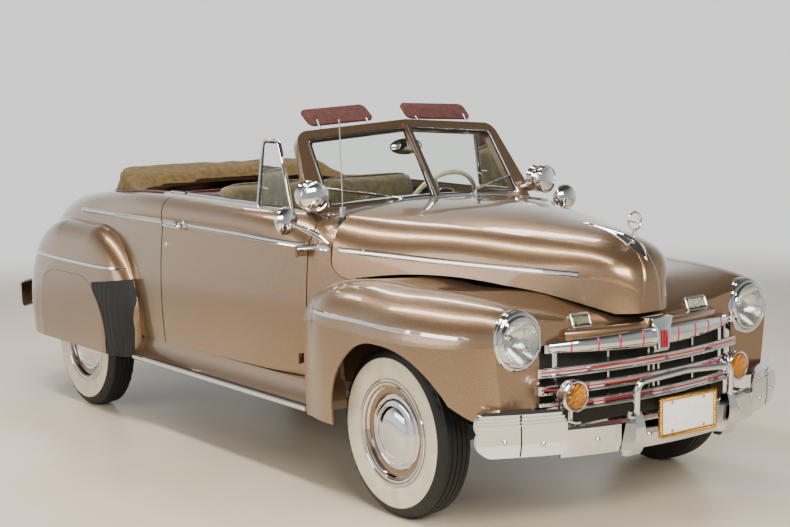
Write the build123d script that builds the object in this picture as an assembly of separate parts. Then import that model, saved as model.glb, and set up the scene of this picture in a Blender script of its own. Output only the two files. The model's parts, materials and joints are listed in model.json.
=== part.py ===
from build123d import *
import os
from math import sin, cos, tan, radians, hypot

# A 1940s two-door open tourer, in millimetres. X runs across the car (+X is the driver's left),
# Y runs from the nose (-Y) to the tail (+Y), Z is up from the floor under the tyres.

# Driving dimensions
overall_length = 4980
wheelbase = 2896
front_overhang = 890
track_front = 1473
track_rear = 1524
tyre_radius = 358
tyre_width = 160
tyre_tread_width = 122
rim_radius = 219
kingpin_x = 640
gap = 6                      # shut line round moving panels
seat_gap = 0.3               # between a moving panel and what it rests on
door_rear_gap = 9            # wider, because the door's inner rear corner swings past it
lid_thickness = 26

front_axle_y = -overall_length / 2 + front_overhang
rear_axle_y = front_axle_y + wheelbase
axle_z = tyre_radius

# Every length along the car below is measured back from the front axle, as "station" values.
cowl_side_station = 560      # rear edge of the bonnet on the body side
cowl_top_station = 650       # rear edge of the bonnet at its crown
firewall_station = 664
door_front_station = 705
door_rear_station = 1950
door_bottom_z = 482
cabin_front_station = 905
cabin_rear_station = 2700
cabin_half_width = 642
lid_front_station = 2960
lid_rear_station = 3868
sill_half_width = 866
sill_bottom_z = 362
wing_inner_x = 425           # inner apron of the front wings
rail_x = 410                 # frame rails, at their middle
rail_width = 60
rail_top_z = 450
trunk_floor_z = 600

# Steering, windscreen and lamp places
kingpin_radius = 12
spindle_radius = 17
hub_inner_x = 700
hub_outer_front_x = 776
hub_outer_rear_x = 800
steering_x = 360
steering_station = 1160
steering_z = 1140
steering_radius = 210
column_rake = 30
column_radius = 20
glass_foot = (722, 1241)             # station, z on the centre line
glass_head = (943, 1571)
glass_outer = (568, 791, 1219)       # x, station, z of the outer foot
frame_behind = 48                    # depth of the windscreen frame behind the glass
header_behind = 104
headlamp_x = 650
headlamp_station = -588
headlamp_z = 800
lamp_bucket_radius = 121
front_bumper_radius = 1645
bumper_wing_x = 527          # where the tall ends of the bumper begin
guard_x = 264
guard_width = 72
guard_head_width = 38
rear_bumper_radius = 1350
plate_bolt_spacing = 178
plate_bolt_radius = 3.5
plate_bolt_z = 520
grille_station = -616        # front face of the wings beside the grille
grille_bow = 74
shelf_z = 770                # foot of the shelf over the grille
grille_bars = [(664, 562), (595, 560), (528, 557)]     # z, half width
grille_posts = (-480, -240, -28, 0, 28, 240, 480)
cross_members = [(0, 90, 360, 430), (-332, 70, 350, 450), (1100, 90, 330, 360), (2520, 80, 380, 450),
                 (3300, 80, 455, 530)]                   # station, depth, low z, high z
hinge_x = 804
hinge_radius = 9
hinge_heights = (1040, 560)
hinge_reach = 90             # from a door hinge's pin to the inner end of its leaves
wheelhouse_radius = 436

# Bonnet sections. Columns: station, crown z, shoulder x, shoulder z, belt x, belt z, low x
bonnet_sections = [
    (-682, 985, 40, 976, 62, 935, 58),
    (-600, 1112, 120, 1088, 172, 985, 168),
    (-430, 1168, 180, 1126, 262, 1006, 284),
    (-150, 1204, 285, 1152, 388, 1026, 432),
    (150, 1236, 395, 1178, 522, 1043, 560),
    (480, 1244, 510, 1192, 655, 1062, 690),
    (820, 1241, 625, 1206, 764, 1085, 778),
]
bonnet_low_z = 830

# Body sections. Columns: station, crown z, shoulder x, shoulder z, belt x, belt z, side x, side z, low x, wall
body_sections = [
    (420, 1240, 495, 1186, 640, 1060, 658, 780, 640, 60),
    (820, 1241, 625, 1206, 764, 1085, 784, 780, 766, 85),
    (1200, 1240, 716, 1214, 793, 1093, 816, 780, 796, 85),
    (1700, 1246, 727, 1222, 803, 1097, 828, 780, 806, 85),
    (2200, 1252, 720, 1225, 800, 1098, 824, 780, 802, 85),
    (2700, 1250, 674, 1207, 780, 1094, 804, 775, 784, 60),
    (3100, 1218, 632, 1172, 762, 1080, 784, 750, 768, 36),
    (3400, 1168, 582, 1120, 710, 1026, 738, 712, 732, 34),
    (3650, 1058, 480, 1010, 622, 922, 655, 652, 656, 34),
    (3800, 920, 385, 876, 528, 796, 566, 582, 572, 34),
    (3890, 745, 290, 710, 430, 650, 478, 508, 484, 34),
    (3935, 600, 200, 575, 330, 520, 372, 440, 380, 34),
]
body_low_z = 400
body_sill_z = 478            # bottom of cowl, doors and quarters ahead of the rear wheels

# Wing sections, left and right in one. Columns: station, top z, crown x, crown z, outer x, outer z, low x
wing_sections = [
    (522, 905, 742, 908, 892, 750, 886),
    (430, 935, 726, 940, 906, 772, 900),
    (240, 950, 700, 962, 920, 775, 914),
    (-40, 944, 668, 957, 926, 770, 916),
    (-280, 926, 645, 952, 912, 770, 893),
    (-450, 890, 634, 940, 874, 776, 842),
    (-550, 857, 640, 926, 822, 784, 786),
    (-600, 834, 646, 908, 782, 790, 736),
    (-616, 816, 648, 896, 768, 792, 712),
]
wing_low_z = 358
wing_wall = 8

# Engine bay opening in the panel between the wings, kept under the bonnet: x, station
bay_opening = [(-150, -450), (150, -450), (262, -400), (372, -214), (426, -90), (426, 200), (-426, 200), (-426, -90),
               (-372, -214), (-262, -400)]

# Rear wing outlines at planes of constant X.
# Columns: x, front, front crest, rear crest, rear, crest z, shoulder z
rear_wing_outlines = [
    (540, 2232, 2690, 3070, 3580, 1040, 520),
    (720, 2236, 2695, 3065, 3570, 1037, 520),
    (872, 2262, 2700, 3040, 3505, 1000, 520),
    (912, 2330, 2700, 3000, 3405, 930, 520),
    (930, 2470, 2720, 2960, 3260, 820, 520),
]
rear_wing_low_z = 366


def y_of(station):
    return front_axle_y + station


def smooth_half(crown_z, shoulder, belt):
    """Crown arc that is level at the centre, then an arc that leaves it smoothly and ends at the belt."""
    rise = crown_z - shoulder[1]
    radius = (shoulder[0] ** 2 + rise ** 2) / (2 * rise)
    lean = shoulder[0] / radius
    slope = (1 - lean ** 2) ** 0.5
    crown_mid_x = shoulder[0] / 2
    crown_mid_z = crown_z - radius + (radius ** 2 - crown_mid_x ** 2) ** 0.5
    chord = (belt[0] - shoulder[0], belt[1] - shoulder[1])
    tangent = (slope, -lean)
    # middle of the circular arc that starts along the tangent and ends at the belt
    cross = tangent[0] * chord[1] - tangent[1] * chord[0]
    length2 = chord[0] ** 2 + chord[1] ** 2
    if abs(cross) < 1e-6:
        middle = (shoulder[0] + chord[0] / 2, shoulder[1] + chord[1] / 2)
    else:
        arc_radius = length2 / (2 * cross)
        centre = (shoulder[0] - tangent[1] * arc_radius, shoulder[1] + tangent[0] * arc_radius)
        half = (shoulder[0] + chord[0] / 2 - centre[0], shoulder[1] + chord[1] / 2 - centre[1])
        reach = abs(arc_radius) / hypot(*half)
        middle = (centre[0] + half[0] * reach, centre[1] + half[1] * reach)
    return (crown_mid_x, crown_mid_z), middle


def mirrored_face(y, start, steps):
    """Closed section at y, symmetrical about X = 0, from steps of (middle or None, end) down one half."""
    half = []
    here = start
    for middle, end in steps:
        half.append((here, middle, end))
        here = end
    edges = [section_edge(y, a, m, b, 1) for a, m, b in half]
    edges += [section_edge(y, b, m, a, -1) for a, m, b in reversed(half)]
    return Face(Wire(edges))


def section_edge(y, a, m, b, side):
    start = (side * a[0], y, a[1])
    end = (side * b[0], y, b[1])
    if m is None:
        return Edge.make_line(start, end)
    return Edge.make_three_point_arc(start, (side * m[0], y, m[1]), end)


def bonnet_section(row, inset=0.0, low_z=bonnet_low_z):
    station, crown_z, shoulder_x, shoulder_z, belt_x, belt_z, low_x = row
    inset_x = min(inset, 0.3 * shoulder_x)
    shoulder = (shoulder_x - inset_x, shoulder_z - inset)
    belt = (belt_x - inset_x, belt_z - 0.3 * inset)
    low = (low_x - inset_x, low_z)
    crown_middle, belt_middle = smooth_half(crown_z - inset, shoulder, belt)
    side_middle = ((belt[0] + low[0]) / 2 + 3, (belt[1] + low[1]) / 2)
    return mirrored_face(y_of(station), (0, crown_z - inset), [
        (crown_middle, shoulder), (belt_middle, belt), (side_middle, low), (None, (0, low_z))])


def body_section(row, inset=False, low_z=body_low_z):
    station, crown_z, shoulder_x, shoulder_z, belt_x, belt_z, side_x, side_z, low_x, wall = row
    side = wall if inset else 0
    top = lid_thickness if inset else 0
    shoulder = (shoulder_x - side, shoulder_z - top)
    belt = (belt_x - side, belt_z - 0.3 * top)
    crown_middle, belt_middle = smooth_half(crown_z - top, shoulder, belt)
    return mirrored_face(y_of(station), (0, crown_z - top), [
        (crown_middle, shoulder), (belt_middle, belt),
        ((side_x - side, side_z), (low_x - side, low_z)), (None, (0, low_z))])


def wing_section(row, inset=0.0, low_z=wing_low_z):
    station, top_z, crown_x, crown_z, outer_x, outer_z, low_x = row
    crown = (crown_x - 0.3 * inset, crown_z - inset)
    outer = (outer_x - inset, outer_z)
    low = (low_x - inset, low_z)
    top_middle = (0.5 * crown[0], top_z - inset + 0.3 * (crown_z - top_z))
    round_middle = (crown[0] + 0.735 * (outer[0] - crown[0]), outer[1] + 0.70 * (crown[1] - outer[1]))
    side_middle = ((outer[0] + low[0]) / 2 + 4, (outer[1] + low[1]) / 2)
    return mirrored_face(y_of(station), (0, top_z - inset), [
        (top_middle, crown), (round_middle, outer), (side_middle, low), (None, (0, low_z))])


def rear_wing_outline(row, inset=0.0, low_z=rear_wing_low_z):
    x, front, front_crest, rear_crest, rear, crest_z, shoulder_z = row
    front, rear, crest_z = front + inset, rear - inset, crest_z - inset
    rise = crest_z - shoulder_z
    front_middle = (front + 0.27 * (front_crest - front), shoulder_z + 0.73 * rise)
    rear_middle = (rear - 0.27 * (rear - rear_crest), shoulder_z + 0.73 * rise)
    return side_face(x - inset, [
        (None, (front, low_z)), (None, (front, shoulder_z)), (front_middle, (front_crest, crest_z)),
        (None, (rear_crest, crest_z)), (rear_middle, (rear, shoulder_z)), (None, (rear - 30, low_z)),
        (None, (front, low_z))])


def block(x, y, z):
    """Box from (low, high) pairs on each axis; y in stations."""
    return Pos((x[0] + x[1]) / 2, y_of((y[0] + y[1]) / 2), (z[0] + z[1]) / 2) * Box(
        x[1] - x[0], y[1] - y[0], z[1] - z[0])


def arc_or_line(a, middle, b):
    return Edge.make_line(a, b) if middle is None else Edge.make_three_point_arc(a, middle, b)


def side_face(x, steps):
    """Face at X = x from a closed side outline of (middle or None, (station, z)) steps."""
    points = [(x, y_of(end[0]), end[1]) for _, end in steps]
    middles = [None if m is None else (x, y_of(m[0]), m[1]) for m, _ in steps]
    return Face(Wire([arc_or_line(points[i - 1], middles[i], points[i]) for i in range(1, len(steps))]))


def side_prism(steps, x0, x1):
    return extrude(side_face(x0, steps), x1 - x0, dir=(1, 0, 0))


def plan_face(steps, z):
    """Level face from a closed plan outline of (middle or None, (x, station)) steps."""
    points = [(end[0], y_of(end[1]), z) for _, end in steps]
    middles = [None if m is None else (m[0], y_of(m[1]), z) for m, _ in steps]
    return Face(Wire([arc_or_line(points[i - 1], middles[i], points[i]) for i in range(1, len(steps))]))


def plan_prism(steps, z0, z1):
    return extrude(plan_face(steps, z0), z1 - z0, dir=(0, 0, 1))


def polygon_steps(points):
    return [(None, p) for p in (*points, points[0])]


def both_sides(shape):
    return Compound(children=[shape, mirror(shape, Plane.YZ)])


def mirrored(shape):
    return mirror(shape, Plane.YZ)


def tube_along_x(radius, x0, x1, station, z):
    return Pos((x0 + x1) / 2, y_of(station), z) * Rot(0, 90, 0) * Cylinder(radius, abs(x1 - x0))


def tube_along_y(radius, x, s0, s1, z):
    return Pos(x, y_of((s0 + s1) / 2), z) * Rot(90, 0, 0) * Cylinder(radius, abs(s1 - s0))


def tube_along_z(radius, x, station, z0, z1):
    return Pos(x, y_of(station), (z0 + z1) / 2) * Cylinder(radius, z1 - z0)


def body_outer():
    return loft([body_section(row) for row in body_sections])


def body_inner():
    return loft([body_section(row, inset=True, low_z=body_low_z - 20) for row in body_sections])


def far_block(x=(-1200, 1200), y=(-1200, 4600), z=(-200, 2200)):
    return block(x, y, z)


def bonnet_plan(clearance):
    """Plan area of the bonnet, with its bowed rear edge moved by the clearance."""
    rear, side = cowl_top_station - clearance, cowl_side_station - clearance
    bow = (rear + (rear - side) * -0.27)
    return plan_prism([
        (None, (-900, -900)), (None, (900, -900)), (None, (900, side)), (None, (770, side)),
        ((560, side + 0.42 * (rear - side)), (400, bow)), ((0, rear + 6), (-400, bow)),
        ((-560, side + 0.42 * (rear - side)), (-770, side)), (None, (-900, side)), (None, (-900, -900))],
        -100, 1500)


def make_bonnet():
    outer = loft([bonnet_section(row) for row in bonnet_sections])
    inner = loft([bonnet_section(row, lid_thickness, bonnet_low_z - 20) for row in bonnet_sections])
    inner &= far_block(y=(bonnet_sections[0][0] + lid_thickness, 2000))
    return (outer - inner - bonnet_underside(0)) & bonnet_plan(0)


def bonnet_underside(drop):
    """Space under the bonnet's lower edge, from its nose to its rounded rear corner."""
    return side_prism([
        (None, (-900, 700)), (None, (-900, 852 - drop)), (None, (-626, 854 - drop)),
        ((-430, 915 - drop), (-214, 950 - drop)), ((60, 976 - drop), (330, 960 - drop)), (None, (440, 944 - drop)),
        ((530 + drop, 952), (572 + drop, 1010)), (None, (700, 1010)), (None, (900, 700)), (None, (-900, 700))],
        -900, 900)


def door_outline(clearance):
    """Side outline of a door, or of its opening with a clearance all round."""
    front, rear = door_front_station - clearance, door_rear_station + clearance * door_rear_gap / gap
    return [(None, (front, door_bottom_z - clearance)), (None, (front, 1085)),
            ((front + 38, 1186), (front + 170, 1262)), (None, (front + 170, 1400)), (None, (rear, 1400)),
            (None, (rear, door_bottom_z - clearance)), (None, (front, door_bottom_z - clearance))]


def make_body_pieces():
    """Cowl, doors, quarters, deck, tail and boot lid, all cut from one shell."""
    outer = body_outer()
    shell = outer - body_inner()
    shell -= far_block(y=(0, rear_axle_y - front_axle_y - 656), z=(0, body_sill_z))
    cabin = far_block(x=(-cabin_half_width, cabin_half_width), y=(cabin_front_station, cabin_rear_station),
                      z=(1000, 2000))
    shell -= cabin
    wheel_space = tube_along_x(wheelhouse_radius, 640, 1000, wheelbase, axle_z)
    shell = shell - wheel_space - mirrored(wheel_space)
    firewall = outer & far_block(y=(firewall_station, firewall_station + 10), z=(body_sill_z, 1215))
    front = shell - far_block(y=(1400, 5000))
    for x0, x1 in ((cabin_half_width - gap, 1000), (-1000, gap - cabin_half_width)):
        front -= side_prism(door_outline(gap), x0, x1)
    front -= (bonnet_plan(-gap) - bonnet_underside(gap)) & far_block(z=(900, 1400))
    column_hole = steering_line(column_radius, -900, 0)
    nodes["cowl"] = front + firewall - column_hole + hinge_seats(1) + hinge_seats(-1)
    door = shell & side_prism(door_outline(0), cabin_half_width, 1000)
    nodes["door_left"] = door + door_hinges(1)
    nodes["door_right"] = mirrored(nodes["door_left"])
    rear = shell - far_block(y=(0, door_rear_station + door_rear_gap))
    lid = plan_prism(lid_outline(0), 500, 1400)
    opening = plan_prism(lid_outline(gap), 500, 1400) & far_block(z=(650, 1400))
    nodes["trunk_lid"] = (rear & lid) & far_block(z=(650 + gap, 1400))
    rear -= opening
    deck_zone = far_block(x=(-560, 560), y=(cabin_rear_station, lid_front_station), z=(1000, 1500))
    tail_zone = far_block(x=(-350, 350), y=(3600, 4600))
    nodes["rear_deck"] = (rear & deck_zone) + lid_hinges()
    nodes["tail_panel"] = rear & tail_zone
    sides = rear - deck_zone - tail_zone
    house = make_wheelhouse(outer)
    nodes["quarter_left"] = (sides & far_block(x=(0, 1200))) + house
    nodes["quarter_right"] = mirrored(nodes["quarter_left"])
    return outer


def lid_hinges():
    """Two pads under the seam: fast to the deck, and just clear of the lid that rests on them."""
    void = body_inner()
    pads = None
    for x in (-330, 330):
        fast = block((x - 20, x + 20), (lid_front_station - 40, lid_front_station - 8), (1000, 1300)) & void
        seat = block((x - 20, x + 20), (lid_front_station - 40, lid_front_station + 40), (1000, 1300)) & (
            Pos(0, 0, -seat_gap) * void)
        pad = (fast + seat) & far_block(z=(1120, 1400))
        pads = pad if pads is None else pads + pad
    return pads


def lid_outline(clearance):
    front, rear = lid_front_station - clearance + gap, 4400
    corners = [(-530, front), (530, front), (490, 3400), (390, 3700), (340, rear)]
    wide = [(x + clearance if x > 0 else x - clearance, y) for x, y in corners]
    wide += [(-340 - clearance, rear), (-390 - clearance, 3700), (-490 - clearance, 3400)]
    return polygon_steps(wide)


def make_wheelhouse(outer):
    """Half tub round a rear wheel, from the inner side panel out to the body side."""
    tub = tube_along_x(wheelhouse_radius + 8, 632, 900, wheelbase, axle_z)
    tub -= tube_along_x(wheelhouse_radius, 640, 1000, wheelbase, axle_z)
    return tub & outer & far_block(z=(body_low_z + 20, 1000))


def door_hinges(side):
    hinges = None
    for z in hinge_heights:
        pin = tube_along_z(hinge_radius, side * hinge_x, door_front_station, z - 16, z + 16)
        leaf = block(sorted((side * (hinge_x - hinge_reach), side * hinge_x)),
                     (door_front_station, door_front_station + 14), (z - 14, z + 14))
        hinges = pin + leaf if hinges is None else hinges + pin + leaf
    return hinges


def hinge_seats(side):
    """Cowl half of the door hinges: a barrel and leaf over each of the door's own."""
    seats = None
    for z in hinge_heights:
        low, high = z + 16 + seat_gap, z + 34
        seat = tube_along_z(hinge_radius, side * hinge_x, door_front_station, low, high) + block(
            sorted((side * (hinge_x - hinge_reach), side * hinge_x)), (door_front_station - 16, door_front_station - 2),
            (low, high))
        seats = seat if seats is None else seats + seat
    return seats


def make_wings(outer_body):
    outer = loft([wing_section(row) for row in wing_sections])
    inner = loft([wing_section(row, wing_wall, wing_low_z - 20) for row in wing_sections])
    inner &= far_block(y=(wing_sections[-1][0] + wing_wall, wing_sections[0][0] - wing_wall))
    shell = outer - inner
    arch = side_prism([
        (None, (284, 200)), (None, (284, 420)), ((188, 655), (-60, 748)), ((-300, 690), (-445, 550)),
        (None, (-530, 500)), (None, (-800, 484)), (None, (-800, 200)), (None, (284, 200))], 500, 1100)
    opening = grille_opening()
    side = shell & far_block(x=(wing_inner_x, 1100))
    apron = block((wing_inner_x, wing_inner_x + wing_wall), (-585, 500), (545, 985)) & outer
    side = side + apron - arch - opening - outer_body
    lamp = headlamp_axis(lamp_bucket_radius, 110, -15)
    side = side + (lamp - inner) - headlamp_axis(lamp_bucket_radius - 6, 60, -60)
    side -= headlamp_axis(lamp_bucket_radius - 2.5, -11.5, -60)
    nodes["front_wing_left"] = side
    nodes["front_wing_right"] = mirrored(side)
    middle = shell & block((-wing_inner_x, wing_inner_x), (-900, -60), (700, 1100))
    middle -= plan_prism(polygon_steps(bay_opening), 600, 1400)
    shelf = nose_shelf()
    nodes["nose_panel"] = middle + shelf - opening


def grille_opening():
    return block((-545, 545), (-900, -480), (505, shelf_z))


def nose_shelf():
    """Body-coloured shelf over the grille, bowed forward at the centre."""
    shelf = plan_prism([
        (None, (-wing_inner_x, -585)), (None, (-wing_inner_x, -634)), ((0, -712), (wing_inner_x, -634)),
        (None, (wing_inner_x, -585)), (None, (-wing_inner_x, -585))], shelf_z, shelf_z + 52)
    front_top = [e for e in shelf.edges().filter_by(GeomType.CIRCLE) if e.center().Z > 800]
    return fillet(front_top, 22)


def headlamp_axis(radius, back, front):
    """Cylinder on a headlamp's axis from back of to in front of its seat."""
    return tube_along_y(radius, headlamp_x, headlamp_station + front, headlamp_station + back, headlamp_z)


def ring(radius_out, radius_in, x, s0, s1, z):
    return tube_along_y(radius_out, x, s0, s1, z) - tube_along_y(radius_in, x, s0 - 5, s1 + 5, z)


def lamp_turning(profile):
    """Revolve (radius, distance ahead of the lamp's seat) about a headlamp's axis."""
    face = Face(Wire.make_polygon([(r, -ahead, 0) for r, ahead in profile]))
    return Pos(headlamp_x, y_of(headlamp_station), headlamp_z) * revolve(face, Axis.Y, 360)


def make_headlamps():
    """Bucket, double-stepped rim and domed lens in one turning a side."""
    turned = lamp_turning([
        (0, -60), (lamp_bucket_radius - 6, -60), (lamp_bucket_radius - 6, 12), (117, 16), (118, 22), (113, 30),
        (103, 33), (102, 38), (97, 44), (88, 45), (85, 39), (60, 48), (32, 54), (0, 56)])
    nodes["headlamps"] = both_sides(turned)
    body_ = Box(112, 34, 54)
    parking = Pos(330, y_of(-602), 842) * Rot(-22, 0, -6) * fillet(body_.edges().filter_by(Axis.Y), 15)
    nodes["parking_lamps"] = both_sides(parking - nodes["nose_panel"])


def make_rear_wings(outer_body):
    outer = loft([rear_wing_outline(row) for row in rear_wing_outlines])
    inner = loft([rear_wing_outline(row, wing_wall, rear_wing_low_z - 20) for row in rear_wing_outlines])
    shell = outer - inner - outer_body
    skirt_cut = side_prism(skirt_outline(0), 850, 1000)
    skirt_fit = side_prism(skirt_outline(3), 850, 1000)
    wing = shell - skirt_cut
    lip_space = inner - loft([rear_wing_outline(row, wing_wall + 3, rear_wing_low_z - 20) for row in rear_wing_outlines])
    lip = lip_space & (side_prism(skirt_outline(-14), 850, 1000) - side_prism(skirt_outline(10), 840, 1010))
    skirt = (shell & skirt_fit) + (lip & far_block(z=(rear_wing_low_z, 1000)))
    nodes["rear_wing_left"] = wing
    nodes["rear_wing_right"] = mirrored(wing)
    nodes["wing_skirt_left"] = skirt
    nodes["wing_skirt_right"] = mirrored(skirt)


def skirt_outline(clearance):
    front, rear, top = 2411 + clearance, 3345 - clearance, 764 - clearance
    return [(None, (front, 300)), (None, (front + 8, 440)), ((front + 115, 680), (2770, top)),
            (None, (3010, top)), ((rear - 110, 680), (rear - 8, 440)), (None, (rear, 300)),
            (None, (front, 300))]


def make_sills():
    profile = Face(Wire([
        Edge.make_line((700, 0, 400), (700, 0, body_sill_z)),
        Edge.make_line((700, 0, body_sill_z), (802, 0, body_sill_z)),
        Edge.make_three_point_arc((802, 0, body_sill_z), (822, 0, 420), (sill_half_width, 0, 384)),
        Edge.make_line((sill_half_width, 0, 384), (sill_half_width, 0, sill_bottom_z)),
        Edge.make_line((sill_half_width, 0, sill_bottom_z), (790, 0, sill_bottom_z)),
        Edge.make_line((790, 0, sill_bottom_z), (700, 0, 400))]))
    start, end = 526, 2232.4
    sill = Pos(0, y_of(start), 0) * extrude(profile, end - start, dir=(0, 1, 0))
    nodes["sills"] = both_sides(sill)


def make_floor(inner):
    profile = [(firewall_station - 30, rail_top_z), (2380, rail_top_z), (2380, trunk_floor_z), (3780, trunk_floor_z),
               (3780, trunk_floor_z + 10), (2370, trunk_floor_z + 10), (2370, rail_top_z + 10),
               (firewall_station - 30, rail_top_z + 10)]
    pan = side_prism(polygon_steps(profile), -700, 700)
    pan -= far_block(x=(632, 800), y=(2380, 5000)) + far_block(x=(-800, -632), y=(2380, 5000))
    nodes["floor"] = (pan & inner) + (pan & far_block(y=(600, 2400)))


def make_frame(bumpers):
    rail_side = polygon_steps([
        (-700, 350), (-700, rail_top_z), (2420, rail_top_z), (2560, trunk_floor_z), (3260, trunk_floor_z),
        (3400, 520), (3960, 520), (3960, 430), (3400, 430), (3180, 480), (2640, 480), (2440, 345),
        (250, 345)])
    half = rail_width / 2
    rail = side_prism(rail_side, rail_x - half, rail_x + half)
    horn = block((rail_x - 14, rail_x + 14), (-780, -690), (375, 440))
    tail_horn = block((rail_x - 14, rail_x + 14), (3950, 4018), (455, 515))
    side = rail + horn + tail_horn
    frame = side + mirrored(side)
    for station, depth, low_z, high_z in cross_members:
        frame += block((-rail_x, rail_x), (station - depth / 2, station + depth / 2), (low_z, high_z))
    for bumper in bumpers:
        frame -= bumper
    nodes["frame"] = frame


def bumper_arc(profile, centre_station, half_angle, direction):
    """Revolve a (distance from centre, z) profile about an upright axis, for a bumper bowed about the car."""
    steps = [(d, z) for d, z in profile]
    face = Face(Wire.make_polygon([(0, direction * d, z) for d, z in steps]))
    swept = revolve(face, Axis.Z, 2 * half_angle)
    return Pos(0, y_of(centre_station), 0) * Rot(0, 0, -half_angle) * swept


def bumper_profile(radius, low_z, high_z, ribs=0):
    """C-shaped pressed section with a bulged face, and ribs of 12 mm pitch under its top edge."""
    height = high_z - low_z
    face_top = high_z - 14 - 14 * ribs
    outer = [(radius - 24, low_z), (radius - 8, low_z + 6), (radius, low_z + 0.3 * height), (radius, face_top)]
    for i in range(ribs):
        z = face_top + 14 * i
        outer += [(radius - 5, z + 3), (radius - 5, z + 6), (radius + 1, z + 9), (radius + 1, z + 12)]
    outer += [(radius - 10, high_z - 5), (radius - 28, high_z)]
    inner = [(radius - 36, high_z - 8), (radius - 17, high_z - 13), (radius - 13, face_top),
             (radius - 13, low_z + 0.3 * height), (radius - 16, low_z + 14), (radius - 24, low_z + 8)]
    return outer + inner


def front_prism(steps):
    """Prism along the whole car from a closed front outline of (middle or None, (x, z)) steps."""
    y0, y1 = y_of(-1200), y_of(4600)
    points = [(end[0], y0, end[1]) for _, end in steps]
    middles = [None if m is None else (m[0], y0, m[1]) for m, _ in steps]
    edges = [arc_or_line(points[i - 1], middles[i], points[i]) for i in range(1, len(steps))]
    return extrude(Face(Wire(edges)), y1 - y0, dir=(0, 1, 0))


def make_front_bumper():
    centre = -838 + front_bumper_radius
    blade = bumper_arc(bumper_profile(front_bumper_radius, 346, 474), centre, 19.5, -1)
    tall = bumper_arc(bumper_profile(front_bumper_radius + 5, 362, 552, 3), centre, 32, -1)
    end = front_prism([
        (None, (bumper_wing_x, 300)), (None, (770, 300)), (None, (770, 366)), ((838, 392), (846, 466)),
        ((838, 536), (800, 553)), (None, (640, 600)), (None, (600, 556)), ((556, 540), (bumper_wing_x, 470)),
        (None, (bumper_wing_x, 300))])
    guards = guard_post(-guard_x) + guard_post(guard_x)
    arch = bent_tube([(-guard_x, -858, 440), (-guard_x, -866, 627), (0, -868, 641), (guard_x, -866, 627),
                      (guard_x, -858, 440)], 38, 13)
    nodes["front_bumper"] = blade + (tall & end) + (tall & mirrored(end)) + guards + arch
    plate = Pos(0, y_of(-876), 471) * Box(316, 6, 148)
    for x in (-plate_bolt_spacing / 2, plate_bolt_spacing / 2):
        plate -= tube_along_y(plate_bolt_radius, x, -900, -860, plate_bolt_z)
    bracket = block((-60, 60), (-873, -834), (404, 420))
    nodes["front_plate"] = plate + (bracket - nodes["front_bumper"])


def degrees_of(slope):
    """Angle in degrees of a small slope."""
    return slope * 57.2958


def guard_post(x):
    """Upright over the bumper with a bowed face, narrower at its head."""
    foot, waist, head = (y_of(-844), 338), (y_of(-884), 420), (y_of(-868), 512)
    back_head, back_foot = (y_of(-836), 512), (y_of(-806), 338)
    outline = Face(Wire([
        Edge.make_three_point_arc((0, *foot), (0, *waist), (0, *head)),
        Edge.make_line((0, *head), (0, *back_head)),
        Edge.make_line((0, *back_head), (0, *back_foot)),
        Edge.make_line((0, *back_foot), (0, *foot)),
    ]))
    post = extrude(outline, amount=guard_width / 2, dir=(1, 0, 0), both=True)
    half, head_half = guard_width / 2, guard_head_width / 2
    taper = front_prism(polygon_steps([(-half, 330), (half, 330), (head_half, 520), (-head_half, 520)]))
    return Pos(x, 0, 0) * (post & taper)


def bent_tube(points, bend_radius, radius):
    """Tube through points of (x, station, z) with rounded bends."""
    path = FilletPolyline(*[(x, y_of(s), z) for x, s, z in points], radius=bend_radius)
    return sweep(path.location_at(0) * Circle(radius), path=path)


def make_rear_bumper():
    centre = 4090 - rear_bumper_radius
    bar = bumper_arc(bumper_profile(rear_bumper_radius, 455, 615), centre, 38, 1)
    guards = None
    for x in (-330, 330):
        post = Pos(x, y_of(4050), 540) * Box(44, 30, 230)
        post = fillet(post.edges().filter_by(Axis.Y), 12)
        guards = post if guards is None else guards + post
    nodes["rear_bumper"] = bar + guards


def make_grille():
    """Three bowed bars, a top moulding with its badge, and a row of small posts behind them."""
    grille = None
    for z, width in grille_bars:
        bar = plan_prism([
            (None, (-width, grille_station)), (None, (-width, grille_station - 12)),
            ((0, grille_station - 14 - grille_bow), (width, grille_station - 12)), (None, (width, grille_station)),
            ((0, grille_station - grille_bow), (-width, grille_station))], z - 17, z + 17)
        grille = bar if grille is None else grille + bar
    cap = plan_prism([
        (None, (-520, grille_station + 8)), (None, (-520, grille_station - 4)), ((0, -728), (520, grille_station - 4)),
        (None, (520, grille_station + 8)), ((0, -700), (-520, grille_station + 8))], 738, shelf_z)
    badge = block((-40, 40), (-736, -712), (700, 836))
    grille += cap + badge
    for x in grille_posts:
        back = grille_station - grille_bow * (1 - (x / 562) ** 2)
        grille += block((x - 5, x + 5), (back - 4, back + 12), (511, 745))
    nodes["grille"] = grille


def make_fog_lamps():
    head = tube_along_y(62, 462, -729, -700, 580) + tube_along_y(46, 462, -701, -672, 580)
    head += tube_along_z(10, 462, -700, 474, 540)
    head += block((450, 474), (-748, -692), (474, 482))
    nodes["fog_lamps"] = both_sides(head - nodes["front_bumper"])


def glass_plane(side, offset=0.0):
    """Plane of one windscreen pane: X outward along its foot, Y up its slope."""
    foot = (0, y_of(glass_foot[0]), glass_foot[1])
    outer = (side * glass_outer[0], y_of(glass_outer[1]), glass_outer[2])
    head = (0, y_of(glass_head[0]), glass_head[1])
    along = tuple(o - f for o, f in zip(outer, foot))
    up = tuple(h - f for h, f in zip(head, foot))
    normal = Vector(*along).cross(Vector(*up))
    return Plane(origin=foot, x_dir=along, z_dir=normal).offset(offset)


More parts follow.
